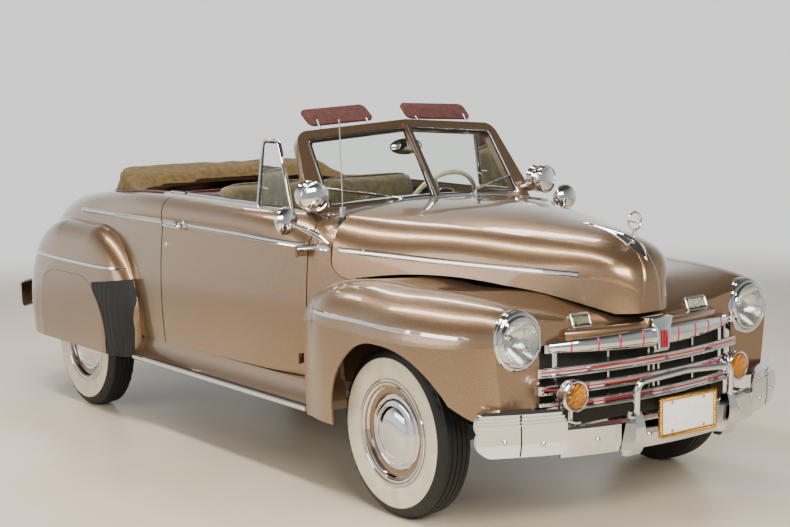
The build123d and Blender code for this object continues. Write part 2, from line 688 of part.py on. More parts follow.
def pane_sketch(side, foot, head, grow):
    """One pane, or its frame's outline, grown at the side, foot and head by those widths."""
    width, height, lean = 574, 392, -8
    shape = Polygon((-30, -foot), (width + grow, -foot), (width + lean + side, height - 22 + head),
                    (lean, height + head), (-30, height + head), align=None)
    return fillet([v for v in shape.vertices() if v.X > 500 and v.Y > 200], 34 + side * 0.8)


def make_windshield():
    """Body-coloured frame, deep at the header, round two flat panes set in a shallow V."""
    half_space = far_block(x=(0, 1200))
    outer = extrude(glass_plane(1, -frame_behind) * pane_sketch(42, 60, 40, 104), frame_behind + 7)
    header = extrude(glass_plane(1, -header_behind) * pane_sketch(42, 60, 40, 104), header_behind)
    header &= far_block(z=(1552, 1800))
    hole = extrude(glass_plane(1, -140) * pane_sketch(0, 0, 0, 0), 200)
    pane = extrude(glass_plane(1, -3) * pane_sketch(4, 4, 4, 4), 6)
    frame = (outer + header - hole) & half_space
    frame = frame + mirrored(frame)
    frame += extrude(glass_plane(1, -8) * Pos(-14, 0) * Rectangle(28, 410, align=(Align.MIN, Align.MIN)), 18)
    frame -= far_block(z=(0, 1160))
    for x0, x1 in ((cabin_half_width - gap, 1000), (-1000, gap - cabin_half_width)):
        frame -= side_prism(door_outline(gap), x0, x1) & far_block(z=(0, 1222))
    glass = pane & half_space
    nodes["windshield_glass"] = (glass + mirrored(glass)) - frame - nodes["cowl"]
    nodes["windshield_frame"] = frame - nodes["cowl"] - nodes["windshield_glass"]


def make_dashboard():
    panel = side_prism([
        (None, (905, 1215)), (None, (905, 1190)), ((955, 1170), (945, 1120)), (None, (925, 1040)),
        (None, (905, 1040)), (None, (850, 1150)), (None, (850, 1215)), (None, (905, 1215))], -632, 632)
    nodes["dashboard"] = panel - nodes["cowl"] - nodes["windshield_frame"] - steering_line(column_radius, -900, 100)


def steering_line(radius, start, end):
    """Cylinder on the steering axis, measured from the wheel's middle, forward negative."""
    axis = Plane(origin=(steering_x, y_of(steering_station), steering_z),
                 z_dir=(0, cos(radians(column_rake)), sin(radians(column_rake))))
    return axis.offset(start) * Cylinder(radius, end - start, align=(Align.CENTER, Align.CENTER, Align.MIN))


def make_steering():
    nodes["steering_column"] = steering_line(column_radius, -900, -40 - seat_gap) - nodes["floor"]
    axis = Plane(origin=(steering_x, y_of(steering_station), steering_z),
                 z_dir=(0, cos(radians(column_rake)), sin(radians(column_rake))))
    wheel = axis * Torus(steering_radius, 12)
    hub = steering_line(30, -40, 12)
    wheel += hub
    for angle in (90, 210, 330):
        spoke = axis * Rot(0, 0, angle) * Pos(steering_radius / 2, 0, -8) * Box(steering_radius, 18, 8)
        wheel += spoke
    nodes["steering_wheel"] = wheel


def make_seats():
    cushion = side_prism([
        (None, (1130, 470)), (None, (1125, 600)), ((1145, 650), (1200, 655)), (None, (1600, 620)),
        (None, (1600, 470)), (None, (1130, 470))], -600, 600)
    back = side_prism([
        (None, (1600, 470)), (None, (1600, 640)), (None, (1690, 1240)), ((1722, 1282), (1762, 1240)),
        (None, (1745, 470)), (None, (1600, 470))], -600, 600)
    base = block((-560, 560), (1150, 1600), (rail_top_z + 10, 470))
    nodes["front_seat"] = cushion + back + base
    rear = side_prism([
        (None, (1990, rail_top_z + 10)), (None, (1985, 590)), ((2000, 640), (2050, 640)), (None, (2330, 610)),
        (None, (2440, 1200)), (None, (2540, 1200)), (None, (2480, 620)), (None, (2350, 620)),
        (None, (2350, rail_top_z + 10)), (None, (1990, rail_top_z + 10))], -610, 610)
    nodes["rear_seat"] = rear


def make_folded_top(outer_body):
    """Folded top under its cover: a U round the back of the cabin."""
    half, front, rear = 712, 2110, 2930
    outline = plan_face([
        (None, (-half, front)), (None, (-half, 2600)), ((-650, 2820), (-430, rear)), (None, (430, rear)),
        ((650, 2820), (half, 2600)), (None, (half, front)), (None, (-half, front))], 1150)
    bowl = plan_face([
        (None, (-610, 1990)), (None, (-610, 2330)), ((-570, 2480), (-400, 2520)), (None, (400, 2520)),
        ((570, 2480), (610, 2330)), (None, (610, 1990)), (None, (-610, 1990))], 1196)
    cover = extrude(outline, 240, dir=(0, 0, 1), taper=16) - extrude(bowl, 240, dir=(0, 0, 1), taper=-52)
    crest = side_prism(polygon_steps([(1900, 1246), (2600, 1292), (2820, 1332), (3100, 1322), (3100, 1600),
                                      (1900, 1600)]), -900, 900)
    nodes["folded_top"] = cover - crest - outer_body - far_block(z=(0, 1196), y=(1900, 2520))


def make_engine():
    block_ = block((-235, 235), (-80, 600), (430, 930))
    heads = block((-150, 150), (20, 420), (930, 1090))
    gearbox = block((-95, 95), (600, 1010), (352, 446))
    nodes["engine"] = block_ + heads + gearbox
    nodes["radiator"] = block((-285, 285), (-365, -300), (rail_top_z, 905))


def make_chassis_parts():
    beam = block((-kingpin_x + 32, kingpin_x - 32), (-24, 24), (268, 322))
    boss = tube_along_z(34, kingpin_x, 0, 268, 392) - tube_along_z(kingpin_radius + 0.5, kingpin_x, 0, 200, 500)
    spring = block((-480, 480), (-26, 26), (322, 360))
    axle = beam + spring + boss + mirrored(boss)
    for x in (kingpin_x, -kingpin_x):
        axle -= tube_along_z(kingpin_radius + 0.5, x, 0, 200, 500)
    nodes["front_axle"] = axle - nodes["frame"]
    tube = tube_along_x(38, -hub_inner_x, hub_inner_x, wheelbase, axle_z)
    differential = Pos(0, y_of(wheelbase), axle_z) * Sphere(125)
    torque_tube = tube_along_y(34, 0, 1010, wheelbase, 356)
    stub = tube_along_x(spindle_radius, -hub_outer_rear_x, hub_outer_rear_x, wheelbase, axle_z)
    rear_spring = block((-500, 500), (wheelbase - 30, wheelbase + 30), (470, 500))
    hangers = block((-rail_x, -rail_x + 20), (wheelbase - 25, wheelbase + 25), (390, 480)) + block(
        (rail_x - 20, rail_x), (wheelbase - 25, wheelbase + 25), (390, 480))
    nodes["rear_axle"] = tube + differential + torque_tube + stub + rear_spring + hangers - nodes["frame"]
    pipe = tube_along_y(23, -250, 605, 3900, 422) + tube_along_y(70, -250, 1500, 2100, 372)
    nodes["exhaust"] = pipe - nodes["frame"] - nodes["rear_axle"] - nodes["floor"]
    tank = block((-300, 300), (3450, 3800), (440, trunk_floor_z))
    nodes["fuel_tank"] = tank - tube_along_y(30, -250, 500, 4000, 422) - nodes["frame"]


def make_knuckle():
    """Steering knuckle for the left wheel: kingpin, yoke, backing plate and spindle."""
    pin = tube_along_z(kingpin_radius, kingpin_x, 0, 246, 414)
    upper = tube_along_z(30, kingpin_x, 0, 396, 414) + block((kingpin_x, kingpin_x + 60), (-24, 24), (396, 414))
    lower = tube_along_z(30, kingpin_x, 0, 246, 264) + block((kingpin_x, kingpin_x + 60), (-24, 24), (246, 264))
    web = block((kingpin_x + 42, kingpin_x + 60), (-34, 34), (246, 414))
    plate = tube_along_x(142, kingpin_x + 52, kingpin_x + 58, 0, axle_z)
    spindle = tube_along_x(spindle_radius, kingpin_x + 50, hub_outer_front_x, 0, axle_z)
    nodes["knuckle_left"] = pin + upper + lower + web + plate + spindle
    nodes["knuckle_right"] = mirrored(nodes["knuckle_left"])


def revolve_about_axle(profile, x, station):
    """Revolve an (offset from the wheel plane, radius) polygon about an axle at the station."""
    face = Face(Wire.make_polygon([(x + u, 0, r) for u, r in profile]))
    return Pos(0, y_of(station), axle_z) * revolve(face, Axis.X, 360)


def make_wheel(name, track, station, bore_start):
    """Left-hand tyre and pressed wheel with drum, beauty ring and domed cap."""
    x = track / 2
    half = tyre_width / 2
    tread = tyre_tread_width / 2
    bead = rim_radius - 8
    tyre = [(-half + 14, bead), (-half + 14, rim_radius + 4), (-half, bead + 44), (-half + 2, bead + 72), (-tread - 4, tyre_radius - 12),
            (-tread + 8, tyre_radius - 2), (0, tyre_radius), (tread - 8, tyre_radius - 2),
            (tread + 4, tyre_radius - 12), (half - 2, bead + 72), (half, bead + 44),
            (half - 14, rim_radius + 4), (half - 14, bead)]
    nodes["tyre_" + name + "_left"] = revolve_about_axle(tyre, x, station)
    rim = [(-half + 12, bead), (-half + 12, rim_radius + 2), (-half + 7, rim_radius + 2), (-half + 7, bead - 8),
           (-30, bead - 26), (10, bead - 30), (14, 150), (6, 60), (6, spindle_radius + 1),
           (12, spindle_radius + 1), (12, 56), (48, 58), (62, 40), (68, 0.5), (73, 0.5), (68, 42), (54, 96),
           (34, 118), (24, 150), (20, bead - 28), (half - 12, bead - 18), (half - 5, bead - 4),
           (half - 5, rim_radius + 2), (half - 12, rim_radius + 2), (half - 12, bead)]
    wheel = revolve_about_axle(rim, x, station)
    drum = tube_along_x(152, x + bore_start, x + 8, station, axle_z)
    drum -= tube_along_x(146, x + bore_start - 5, x, station, axle_z)
    drum -= tube_along_x(spindle_radius + 1, x - 60, x + 20, station, axle_z)
    nodes["wheel_" + name + "_left"] = wheel + drum
    nodes["tyre_" + name + "_right"] = mirrored(nodes["tyre_" + name + "_left"])
    nodes["wheel_" + name + "_right"] = mirrored(nodes["wheel_" + name + "_left"])


def make_vents():
    """Fixed quarter light on each door: posts, rail and pane."""
    outline = polygon_steps([(905, 1190), (1228, 1190), (1226, 1532), (1085, 1532)])
    hole = polygon_steps([(928, 1224), (1212, 1224), (1211, 1517), (1092, 1517)])
    frame = side_prism(outline, -11, 11) - side_prism(hole, -20, 20)
    pane = side_prism(hole, -2.5, 2.5)
    vent = frame + pane
    lean = degrees_of(-0.13)
    vent = Pos(680, 0, 1215) * Rot(0, lean, 0) * Pos(0, 0, -1215) * vent
    nodes["vent_left"] = vent - nodes["door_left"]
    nodes["vent_right"] = mirrored(nodes["vent_left"])


def make_small_parts():
    lamp = Plane(origin=(690, y_of(716), 1283), z_dir=(0.2, -1, -0.05)) * Cone(66, 40, 80, align=(
        Align.CENTER, Align.CENTER, Align.MAX))
    arm = rod_between((585, 830, 1240), (688, 752, 1272), 9)
    nodes["spot_lamps"] = both_sides(lamp + arm - nodes["windshield_frame"] - nodes["cowl"])
    mirror_head = Plane(origin=(830, y_of(736), 1184), z_dir=(0.2, 1, 0)) * Cylinder(62, 14)
    stalk = rod_between((688, 603, 1078), (826, 730, 1180), 5)
    nodes["mirrors"] = both_sides(mirror_head + stalk - nodes["cowl"])
    aerial = rod_between((-600, 627, 1180), (-600, 640, 1622), 2.5) + rod_between(
        (-600, 627, 1180), (-600, 628, 1236), 14)
    nodes["aerial"] = aerial - nodes["cowl"]
    visor = None
    for side in (1, -1):
        plate = Pos(side * 296, y_of(1108), 1640) * Rot(-58, side * 3, side * -4) * Box(380, 10, 112)
        for x, foot, head in ((150, (1008, 1556), (1079, 1611)), (440, (1020, 1550), (1057, 1621))):
            plate += rod_between((side * x, *foot), (side * x, *head), 6)
        visor = plate if visor is None else visor + plate
    nodes["sun_visors"] = visor - nodes["windshield_frame"]
    base = block((-26, 26), (-640, -430), (1080, 1150)) & far_block()
    ring_ = Pos(0, y_of(-575), 1185) * Rot(0, 90, 0) * Torus(34, 6)
    bonnet_solid = loft([bonnet_section(row) for row in bonnet_sections])
    fin = side_prism(polygon_steps([(-672, 1120), (-600, 1160), (-420, 1182), (-420, 1150), (-600, 1100)]), -14, 14)
    nodes["bonnet_ornament"] = fin + ring_ - bonnet_solid
    tail = tube_along_y(45, 600, 3680, 3775, 740)
    nodes["tail_lamps"] = both_sides(tail - nodes["rear_wing_left"] - body)


def rod_between(a, b, radius):
    start, end = (a[0], y_of(a[1]), a[2]), (b[0], y_of(b[1]), b[2])
    along = tuple(q - p for p, q in zip(start, end))
    length = hypot(*along)
    return Plane(origin=start, z_dir=along) * Cylinder(radius, length, align=(Align.CENTER, Align.CENTER, Align.MIN))


nodes = {}
body = make_body_pieces()
nodes["bonnet"] = make_bonnet()
make_wings(body)
make_headlamps()
make_rear_wings(body)
make_sills()
make_floor(body_inner())
make_front_bumper()
make_rear_bumper()
make_frame([nodes["front_bumper"], nodes["rear_bumper"]])
for panel in ("front_wing_left", "front_wing_right", "nose_panel", "quarter_left", "quarter_right", "tail_panel"):
    nodes[panel] -= nodes["frame"]
make_grille()
make_fog_lamps()
make_windshield()
make_dashboard()
make_steering()
make_seats()
make_folded_top(body)
make_engine()
make_chassis_parts()
make_knuckle()
make_wheel("front", track_front, 0, -40)
make_wheel("rear", track_rear, wheelbase, -40)
make_vents()
make_small_parts()

os.makedirs("parts", exist_ok=True)
for node, solid in nodes.items():
    export_step(solid, f"parts/{node}.step")
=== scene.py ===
import json
import math

import bmesh
import bpy
from mathutils import Matrix, Vector, noise
from mathutils.bvhtree import BVHTree

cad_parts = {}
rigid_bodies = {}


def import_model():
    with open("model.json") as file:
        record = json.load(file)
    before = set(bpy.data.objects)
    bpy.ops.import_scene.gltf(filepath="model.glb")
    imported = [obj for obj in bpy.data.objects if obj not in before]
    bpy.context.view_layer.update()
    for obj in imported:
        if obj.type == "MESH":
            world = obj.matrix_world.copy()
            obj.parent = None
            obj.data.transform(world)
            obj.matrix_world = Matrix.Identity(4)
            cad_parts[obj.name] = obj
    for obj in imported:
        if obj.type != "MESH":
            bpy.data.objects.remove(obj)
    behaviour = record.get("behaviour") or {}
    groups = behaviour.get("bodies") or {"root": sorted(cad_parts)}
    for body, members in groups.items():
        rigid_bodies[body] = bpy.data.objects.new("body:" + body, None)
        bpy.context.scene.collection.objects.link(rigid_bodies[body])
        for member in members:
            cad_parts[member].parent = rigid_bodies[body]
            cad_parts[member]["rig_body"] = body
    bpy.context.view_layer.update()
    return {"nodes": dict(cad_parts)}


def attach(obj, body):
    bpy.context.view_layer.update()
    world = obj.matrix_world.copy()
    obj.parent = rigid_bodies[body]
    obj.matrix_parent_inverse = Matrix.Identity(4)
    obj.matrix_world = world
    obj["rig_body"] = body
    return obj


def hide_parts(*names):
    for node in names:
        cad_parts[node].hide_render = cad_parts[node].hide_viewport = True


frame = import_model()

nodes = frame["nodes"]
frontAxleY = -1.6  # metres in the model's frame; stations run back from here


# A point given as across, distance behind the front axle, and height, all in metres
def place(x, station, z):
    return Vector((x, frontAxleY + station, z))


# Colours and materials

# sRGB hex to the linear colour that the shaders want
def linear(hexColour):
    channels = [int(hexColour[i:i + 2], 16) / 255 for i in (1, 3, 5)]
    return tuple(c / 12.92 if c <= 0.04045 else ((c + 0.055) / 1.055) ** 2.4 for c in channels) + (1.0,)


# Adds a node; settings are its properties or its sockets' values, links its inputs' sources
def addNode(material, kind, links=None, **settings):
    node = material.node_tree.nodes.new(kind)
    for name, value in settings.items():
        if hasattr(node, name):
            setattr(node, name, value)
        else:
            node.inputs[name.replace("_", " ")].default_value = value
    for name, source in (links or {}).items():
        material.node_tree.links.new(source, node.inputs[name])
    return node


# A material whose one surface shader holds the plain values; returns both
def newMaterial(name, **surface):
    material = bpy.data.materials.new(name)
    material.use_nodes = True
    material.node_tree.nodes.clear()
    output = addNode(material, "ShaderNodeOutputMaterial")
    shader = addNode(material, "ShaderNodeBsdfPrincipled", **surface)
    material.node_tree.links.new(shader.outputs[0], output.inputs["Surface"])
    return material, shader


# Texture scale that gives features of about this size on Object coordinates
def patternScale(millimetres):
    return 1000 / millimetres


# Turns a value into a colour between low and high
def colourRamp(owner, value, low, high, lowAt, highAt):
    ramp = addNode(owner, "ShaderNodeValToRGB", links={"Fac": value})
    for stop, colour, at in zip(ramp.color_ramp.elements, (low, high), (lowAt, highAt)):
        stop.position = at
        stop.color = linear(colour)
    return ramp.outputs["Color"]


# The texture's value moves the base colour from low to high
def tint(material, shader, texture, low, high, lowAt=0.3, highAt=0.7):
    colour = colourRamp(material, texture, low, high, lowAt, highAt)
    material.node_tree.links.new(colour, shader.inputs["Base Color"])


# Raises the surface by the texture; depth is the relief in millimetres
def bump(material, shader, height, strength, depth):
    node = addNode(material, "ShaderNodeBump", links={"Height": height}, Strength=strength,
                   Distance=depth / 1000)
    material.node_tree.links.new(node.outputs[0], shader.inputs["Normal"])


# A texture on Object coordinates; stretch scales its axes against each other
def objectTexture(material, kind, millimetres, stretch=(1, 1, 1), turn=(0, 0, 0), **settings):
    coordinates = addNode(material, "ShaderNodeTexCoord").outputs["Object"]
    mapping = addNode(material, "ShaderNodeMapping", links={"Vector": coordinates})
    mapping.inputs["Scale"].default_value = stretch
    mapping.inputs["Rotation"].default_value = turn
    return addNode(material, kind, links={"Vector": mapping.outputs[0]}, Scale=patternScale(millimetres),
                   **settings)


# Metallic enamel sprayed over steel and polished: fine flake under a clear coat
def makeEnamel(name, dark, light):
    material, shader = newMaterial(name, Metallic=0.86, Roughness=0.30, Coat_Weight=1.0,
                                   Coat_Roughness=0.03, Coat_IOR=1.5)
    flakes = objectTexture(material, "ShaderNodeTexVoronoi", 1.1)  # flake drawn coarse so that it shows
    tint(material, shader, flakes.outputs["Color"], dark, light, 0.0, 1.0)
    bump(material, shader, flakes.outputs["Distance"], 0.06, 0.3)
    return material


# Nickel and chromium plated steel, buffed: a mirror with faint polishing marks
def makePlating(name, base="#d9dadc", roughness=0.045):
    material, shader = newMaterial(name, Base_Color=linear(base), Metallic=1.0)
    haze = objectTexture(material, "ShaderNodeTexNoise", 14, Detail=5.0)
    spread = addNode(material, "ShaderNodeMapRange", links={"Value": haze.outputs["Fac"]},
                     To_Min=roughness * 0.6, To_Max=roughness * 1.7)
    material.node_tree.links.new(spread.outputs[0], shader.inputs["Roughness"])
    return material


# Pressed or rolled glass: clear, with a slight body tint
def makeGlass(name, colour="#f4faf6", roughness=0.0, index=1.45, clear=1.0):
    material, shader = newMaterial(name, Base_Color=linear(colour), Roughness=roughness, IOR=index,
                                   Transmission_Weight=clear)
    ripple = objectTexture(material, "ShaderNodeTexNoise", 90)
    bump(material, shader, ripple.outputs["Fac"], 0.05, 0.4)
    return material


# Noise tints a plain surface and, where relief gives strength and depth, raises it
def makeMottled(name, size, detail, dark, light, relief=None, **surface):
    material, shader = newMaterial(name, **surface)
    grain = objectTexture(material, "ShaderNodeTexNoise", size, Detail=detail)
    tint(material, shader, grain.outputs["Fac"], dark, light)
    if relief:
        bump(material, shader, grain.outputs["Fac"], *relief)
    return material


# Moulded rubber: nearly black, dull, with a fine grain and a little bloom
def makeRubber(name, dark="#0d0d0e", light="#1c1c1d"):
    return makeMottled(name, 5, 6.0, dark, light, (0.3, 0.3), Roughness=0.62)


# Hard moulded plastic or stoved enamel: smooth, glossy, faintly mottled
def makeMoulding(name, dark, light, roughness=0.25):
    return makeMottled(name, 25, 3.0, dark, light, None, Roughness=roughness, Coat_Weight=0.4,
                       Coat_Roughness=0.08)


# Woven cloth: crossing threads that catch the light, with uneven dye
def makeCloth(name, dark, light, thread, sheen=0.3):
    material, shader = newMaterial(name, Roughness=0.9, Sheen_Weight=sheen, Sheen_Roughness=0.5)
    warp = objectTexture(material, "ShaderNodeTexWave", thread * 6.3, bands_direction="X")
    weft = objectTexture(material, "ShaderNodeTexWave", thread * 6.3, bands_direction="Y")
    weave = addNode(material, "ShaderNodeMath", links={0: warp.outputs["Fac"], 1: weft.outputs["Fac"]},
                    operation="MAXIMUM")
    dye = objectTexture(material, "ShaderNodeTexNoise", 30, Detail=5.0)
    tint(material, shader, dye.outputs["Fac"], dark, light)
    bump(material, shader, weave.outputs[0], 0.35, 0.5)
    return material


# Dyed hide: pebbled grain with a soft wax shine
def makeHide(name, dark, light):
    material, shader = newMaterial(name, Roughness=0.42, Coat_Weight=0.15, Coat_Roughness=0.3)
    grain = objectTexture(material, "ShaderNodeTexVoronoi", 3.2, feature="DISTANCE_TO_EDGE")
    shade = objectTexture(material, "ShaderNodeTexNoise", 70, Detail=4.0)
    tint(material, shader, shade.outputs["Fac"], dark, light)
    bump(material, shader, grain.outputs["Distance"], 0.4, 0.3)
    return material


# Cut pile carpet: dark maroon tufts that swallow the light
def makeLoopCarpet(name):
    material, shader = newMaterial(name, Roughness=0.97, Sheen_Weight=0.35)
    tufts = objectTexture(material, "ShaderNodeTexVoronoi", 4)
    tint(material, shader, tufts.outputs["Color"], "#1f0d0c", "#3a1a17", 0.1, 0.9)
    bump(material, shader, tufts.outputs["Distance"], 0.8, 2)
    return material


enamel = makeEnamel("SprayedMetallicEnamel", "#6b543e", "#ae8f6e")
plating = makePlating("BuffedChromiumPlate")
clearGlass = makeGlass("RolledClearGlass")
amberGlass = makeGlass("PressedAmberGlass", "#ffa51c", 0.0, 1.5, 0.9)
rubyGlass = makeGlass("PressedRubyGlass", "#b90f12", 0.05, 1.5, 0.5)
flutedGlass = makeGlass("PressedFlutedLens", "#f2f5f4", 0.02, 1.5)
ribbedGlass = makeGlass("PressedRibbedLens", "#a9a893", 0.05, 1.5)
reflector = makePlating("SilveredReflector", "#e9eaea", 0.18)
flutedMirror = makePlating("SilveredMirrorGlass", "#e4e7e8", 0.03)
goldPlate = makePlating("PolishedBrassPlate", "#c9973e", 0.16)
redEnamel = makeMoulding("StovedRedEnamel", "#a3142b", "#b9223a", 0.3)
plateWhite = makeMoulding("StovedWhiteEnamel", "#e4e4e2", "#f1f1ef", 0.35)
tyreRubber = makeRubber("MouldedTyreRubber")
sealRubber = makeRubber("ExtrudedSealRubber", "#0a0a0b", "#141414")
# Cream white side wall: smooth, slightly yellowed in places
whitewall = makeMottled("WhiteSidewallRubber", 60, 4.0, "#d8cfb4", "#e9e3cd", (0.1, 0.3), Roughness=0.5)
# Satin black brushed on rolled steel: slight orange peel and dust
chassisBlack = makeMottled("BrushedChassisBlack", 35, 6.0, "#121212", "#26221e", (0.15, 0.4),
                           Roughness=0.48)
topCloth = makeCloth("WovenTanTopping", "#4c3c19", "#70592a", 0.9, 0.05)
seatHide = makeHide("DyedMaroonHide", "#3d1512", "#5a241e")
seatCloth = makeCloth("WovenOliveSeatCloth", "#595136", "#7a704f", 0.8)
visorBoard = makeCloth("MaroonClothOnBoard", "#451f1b", "#5d332d", 0.7, 0.02)
ivory = makeMoulding("MouldedIvoryPlastic", "#d8cda6", "#e6ddbd")
carpet = makeLoopCarpet("CutPileCarpet")
# Sand cast iron under green enamel: rough skin, oily patches
engineIron = makeMottled("CastIronGreenEnamel", 6, 8.0, "#1d2a24", "#30413a", (0.5, 0.8), Roughness=0.55,
                         Metallic=0.2)
print("materials made:", len(bpy.data.materials))

finishes = {}
for material, names in (
        (plating, "aerial bonnet_ornament fog_lamps front_bumper front_plate grille headlamps mirrors"),
        (plating, "parking_lamps rear_bumper spot_lamps vent_left vent_right"),
        (chassisBlack, "exhaust frame front_axle fuel_tank knuckle_left knuckle_right radiator rear_axle"),
        (tyreRubber, "tyre_front_left tyre_front_right tyre_rear_left tyre_rear_right"),
        (ivory, "steering_column steering_wheel"), (seatHide, "rear_seat"), (seatCloth, "front_seat"),
        (topCloth, "folded_top"), (visorBoard, "sun_visors"), (carpet, "floor"), (engineIron, "engine"),
        (rubyGlass, "tail_lamps"), (clearGlass, "windshield_glass")):
    finishes.update({name: material for name in names.split()})
for name, node in nodes.items():
    node.data.materials.clear()
    node.data.materials.append(finishes.get(name, enamel))
print("frame nodes finished:", len(nodes))


# Helpers for pieces

# The bmesh becomes a piece on a node's body
def finishPiece(name, shape, node, materials, sharpAngle=35):
    body = nodes[node]["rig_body"]
    bmesh.ops.remove_doubles(shape, verts=shape.verts, dist=0.00001)
    bmesh.ops.recalc_face_normals(shape, faces=shape.faces)
    mesh = bpy.data.meshes.new(name)
    shape.to_mesh(mesh)
    shape.free()
    for material in materials:
        mesh.materials.append(material)
    mesh.shade_smooth()
    mesh.set_sharp_from_angle(angle=math.radians(sharpAngle))
    piece = bpy.data.objects.new(name, mesh)
    bpy.context.scene.collection.objects.link(piece)
    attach(piece, body)
    return piece


# Faces made since the count get that material
def paintNew(shape, count, zone):
    shape.faces.ensure_lookup_table()
    for face in shape.faces[count:]:
        face.material_index = zone


# A frame whose Z points along, X across and Y outward
def framed(origin, along, outward):
    z = Vector(along).normalized()
    x = z.cross(Vector(outward)).normalized() * -1
    y = z.cross(x)
    return Matrix.Translation(origin) @ Matrix((x, y, z)).transposed().to_4x4()


# Spins profiles of (radius, ahead) about a frame's Z; each profile has its own material
def turned(shape, frameAt, profiles, steps=64):
    for zone, profile in enumerate(profiles):
        count = len(shape.faces)
        points = [shape.verts.new(frameAt @ Vector((radius, 0, ahead))) for radius, ahead in profile]
        edges = [shape.edges.new(pair) for pair in zip(points, points[1:])]
        bmesh.ops.spin(shape, geom=points + edges, cent=frameAt.translation, axis=frameAt.to_3x3().col[2],
                       dvec=(0, 0, 0), angle=math.tau, steps=steps, use_merge=True)
        paintNew(shape, count, zone)


# Extrudes a closed profile of (across, outward) through a row of frames
def sweep(shape, profile, frames, closed=False, zone=0):
    count = len(shape.faces)
    ring = [shape.verts.new(frames[0] @ Vector((across, outward, 0))) for across, outward in profile]
    edges = [shape.edges.new(pair) for pair in zip(ring, ring[1:] + ring[:1])]
    first = list(edges)
    for before, after in zip(frames, frames[1:]):
        made = bmesh.ops.extrude_edge_only(shape, edges=edges)["geom"]
        fresh = {item for item in made if isinstance(item, bmesh.types.BMVert)}
        bmesh.ops.transform(shape, matrix=after @ before.inverted(), verts=list(fresh))
        edges = [item for item in made if isinstance(item, bmesh.types.BMEdge)
                 and fresh.issuperset(item.verts)]
    if closed:
        bmesh.ops.bridge_loops(shape, edges=first + edges)
    else:
        bmesh.ops.contextual_create(shape, geom=first)
        bmesh.ops.contextual_create(shape, geom=edges)
    paintNew(shape, count, zone)


# Frames through (point, outward) pairs
def framesThrough(pairs, closed=False):
    frames = []
    last = len(pairs) - 1
    for i, (point, outward) in enumerate(pairs):
        before = pairs[i - 1][0] if i > 0 or closed else point
        after = pairs[(i + 1) % len(pairs)][0] if i < last or closed else point
        frames.append(framed(point, after - before, outward))
    return frames


# Points spread evenly along a broken line
def spread(points, count):
    points = [Vector(point) for point in points]
    lengths = [(b - a).length for a, b in zip(points, points[1:])]
    found = []
    for i in range(count):
        rest = sum(lengths) * i / (count - 1)
        for a, b, length in zip(points, points[1:], lengths):
            if rest <= length + 1e-9:
                found.append(a.lerp(b, rest / length))
                break
            rest -= length
        else:
            found.append(points[-1])
    return found


surfaces = {}


# Where a ray meets CAD nodes: the point and the surface's outward side
def meet(names, start, direction):
    if names not in surfaces:
        corners, faces = [], []
        for name in names.split():
            mesh = nodes[name].data
            offset = len(corners)
            corners += [corner.co.copy() for corner in mesh.vertices]
            faces += [[offset + i for i in face.vertices] for face in mesh.polygons]
        surfaces[names] = BVHTree.FromPolygons(corners, faces)
    direction = Vector(direction).normalized()
    point, normal, _, _ = surfaces[names].ray_cast(start, direction)
    if point is None:
        return None
    return point, (normal if normal.dot(direction) < 0 else -normal)


# Guide points laid on CAD nodes along a direction, from a metre away
def layOn(names, points, direction):
    found = [meet(names, point - Vector(direction) * 1.0, direction) for point in points]
    return [pair for pair in found if pair]


def flatStrip(width, height, sink=0.003):  # profile of a trim with bevelled shoulders
    half = width / 2
    return [(-half, -sink), (-half, 0.3 * height), (-0.6 * half, height), (0.6 * half, height),
            (half, 0.3 * height), (half, -sink)]


def twinStrip(width, height, sink=0.003):  # the same with a groove between two ridges
    half = width / 2
    return [(-half, -sink), (-half, 0.3 * height), (-0.62 * half, height), (-0.25 * half, 0.5 * height),
            (0.25 * half, 0.5 * height), (0.62 * half, height), (half, 0.3 * height), (half, -sink)]


def roundProfile(radius, steps=10):
    return [(radius * math.cos(math.tau * i / steps), radius * math.sin(math.tau * i / steps))
            for i in range(steps)]


# A tube through points, with the bends smoothed by a Bezier curve
def tubeThrough(shape, points, radius, zone=0, resolution=6):
    curve = bpy.data.curves.new("path", "CURVE")
    curve.dimensions = "3D"
    curve.bevel_depth = radius
    curve.bevel_resolution = 2
    curve.resolution_u = resolution
    curve.use_fill_caps = True
    line = curve.splines.new("BEZIER")
    line.bezier_points.add(len(points) - 1)
    for knot, point in zip(line.bezier_points, points):
        knot.co = point
        knot.handle_left_type = knot.handle_right_type = "AUTO"
    tube = bpy.data.objects.new("path", curve)
    count = len(shape.faces)
    mesh = tube.to_mesh()
    shape.from_mesh(mesh)
    paintNew(shape, count, zone)
    tube.to_mesh_clear()
    bpy.data.objects.remove(tube)


# A plate or block with rounded corners, its front edges eased; Z of the frame is its front
def roundedBlock(shape, frameAt, width, height, depth, corner, ease=0.0, zone=0, segments=4):
    count = len(shape.faces)
    matrix = frameAt @ Matrix.Diagonal((width, height, depth, 1))
    corners = bmesh.ops.create_cube(shape, size=1.0, matrix=matrix)["verts"]
    edges = {edge for point in corners for edge in point.link_edges}
    axis = frameAt.to_3x3().col[2]
    upright = [e for e in edges if abs((e.verts[0].co - e.verts[1].co).normalized().dot(axis)) > 0.9]
    bmesh.ops.bevel(shape, geom=upright, offset=corner, segments=segments, profile=0.5, affect="EDGES",
                    material=-1)
    if ease:
        shape.faces.ensure_lookup_table()
        fronts = [f for f in shape.faces[count:] if f.normal.dot(axis) > 0.9]
        rims = {edge for face in fronts for edge in face.edges}
        bmesh.ops.bevel(shape, geom=list(rims), offset=ease, segments=3, profile=0.5, affect="EDGES",
                        material=-1)
    paintNew(shape, count, zone)


def bothSides(build):  # runs a builder for the driver's left (+1) and right (-1)
    for side, word in ((1, "left"), (-1, "right")):
        build(side, word)


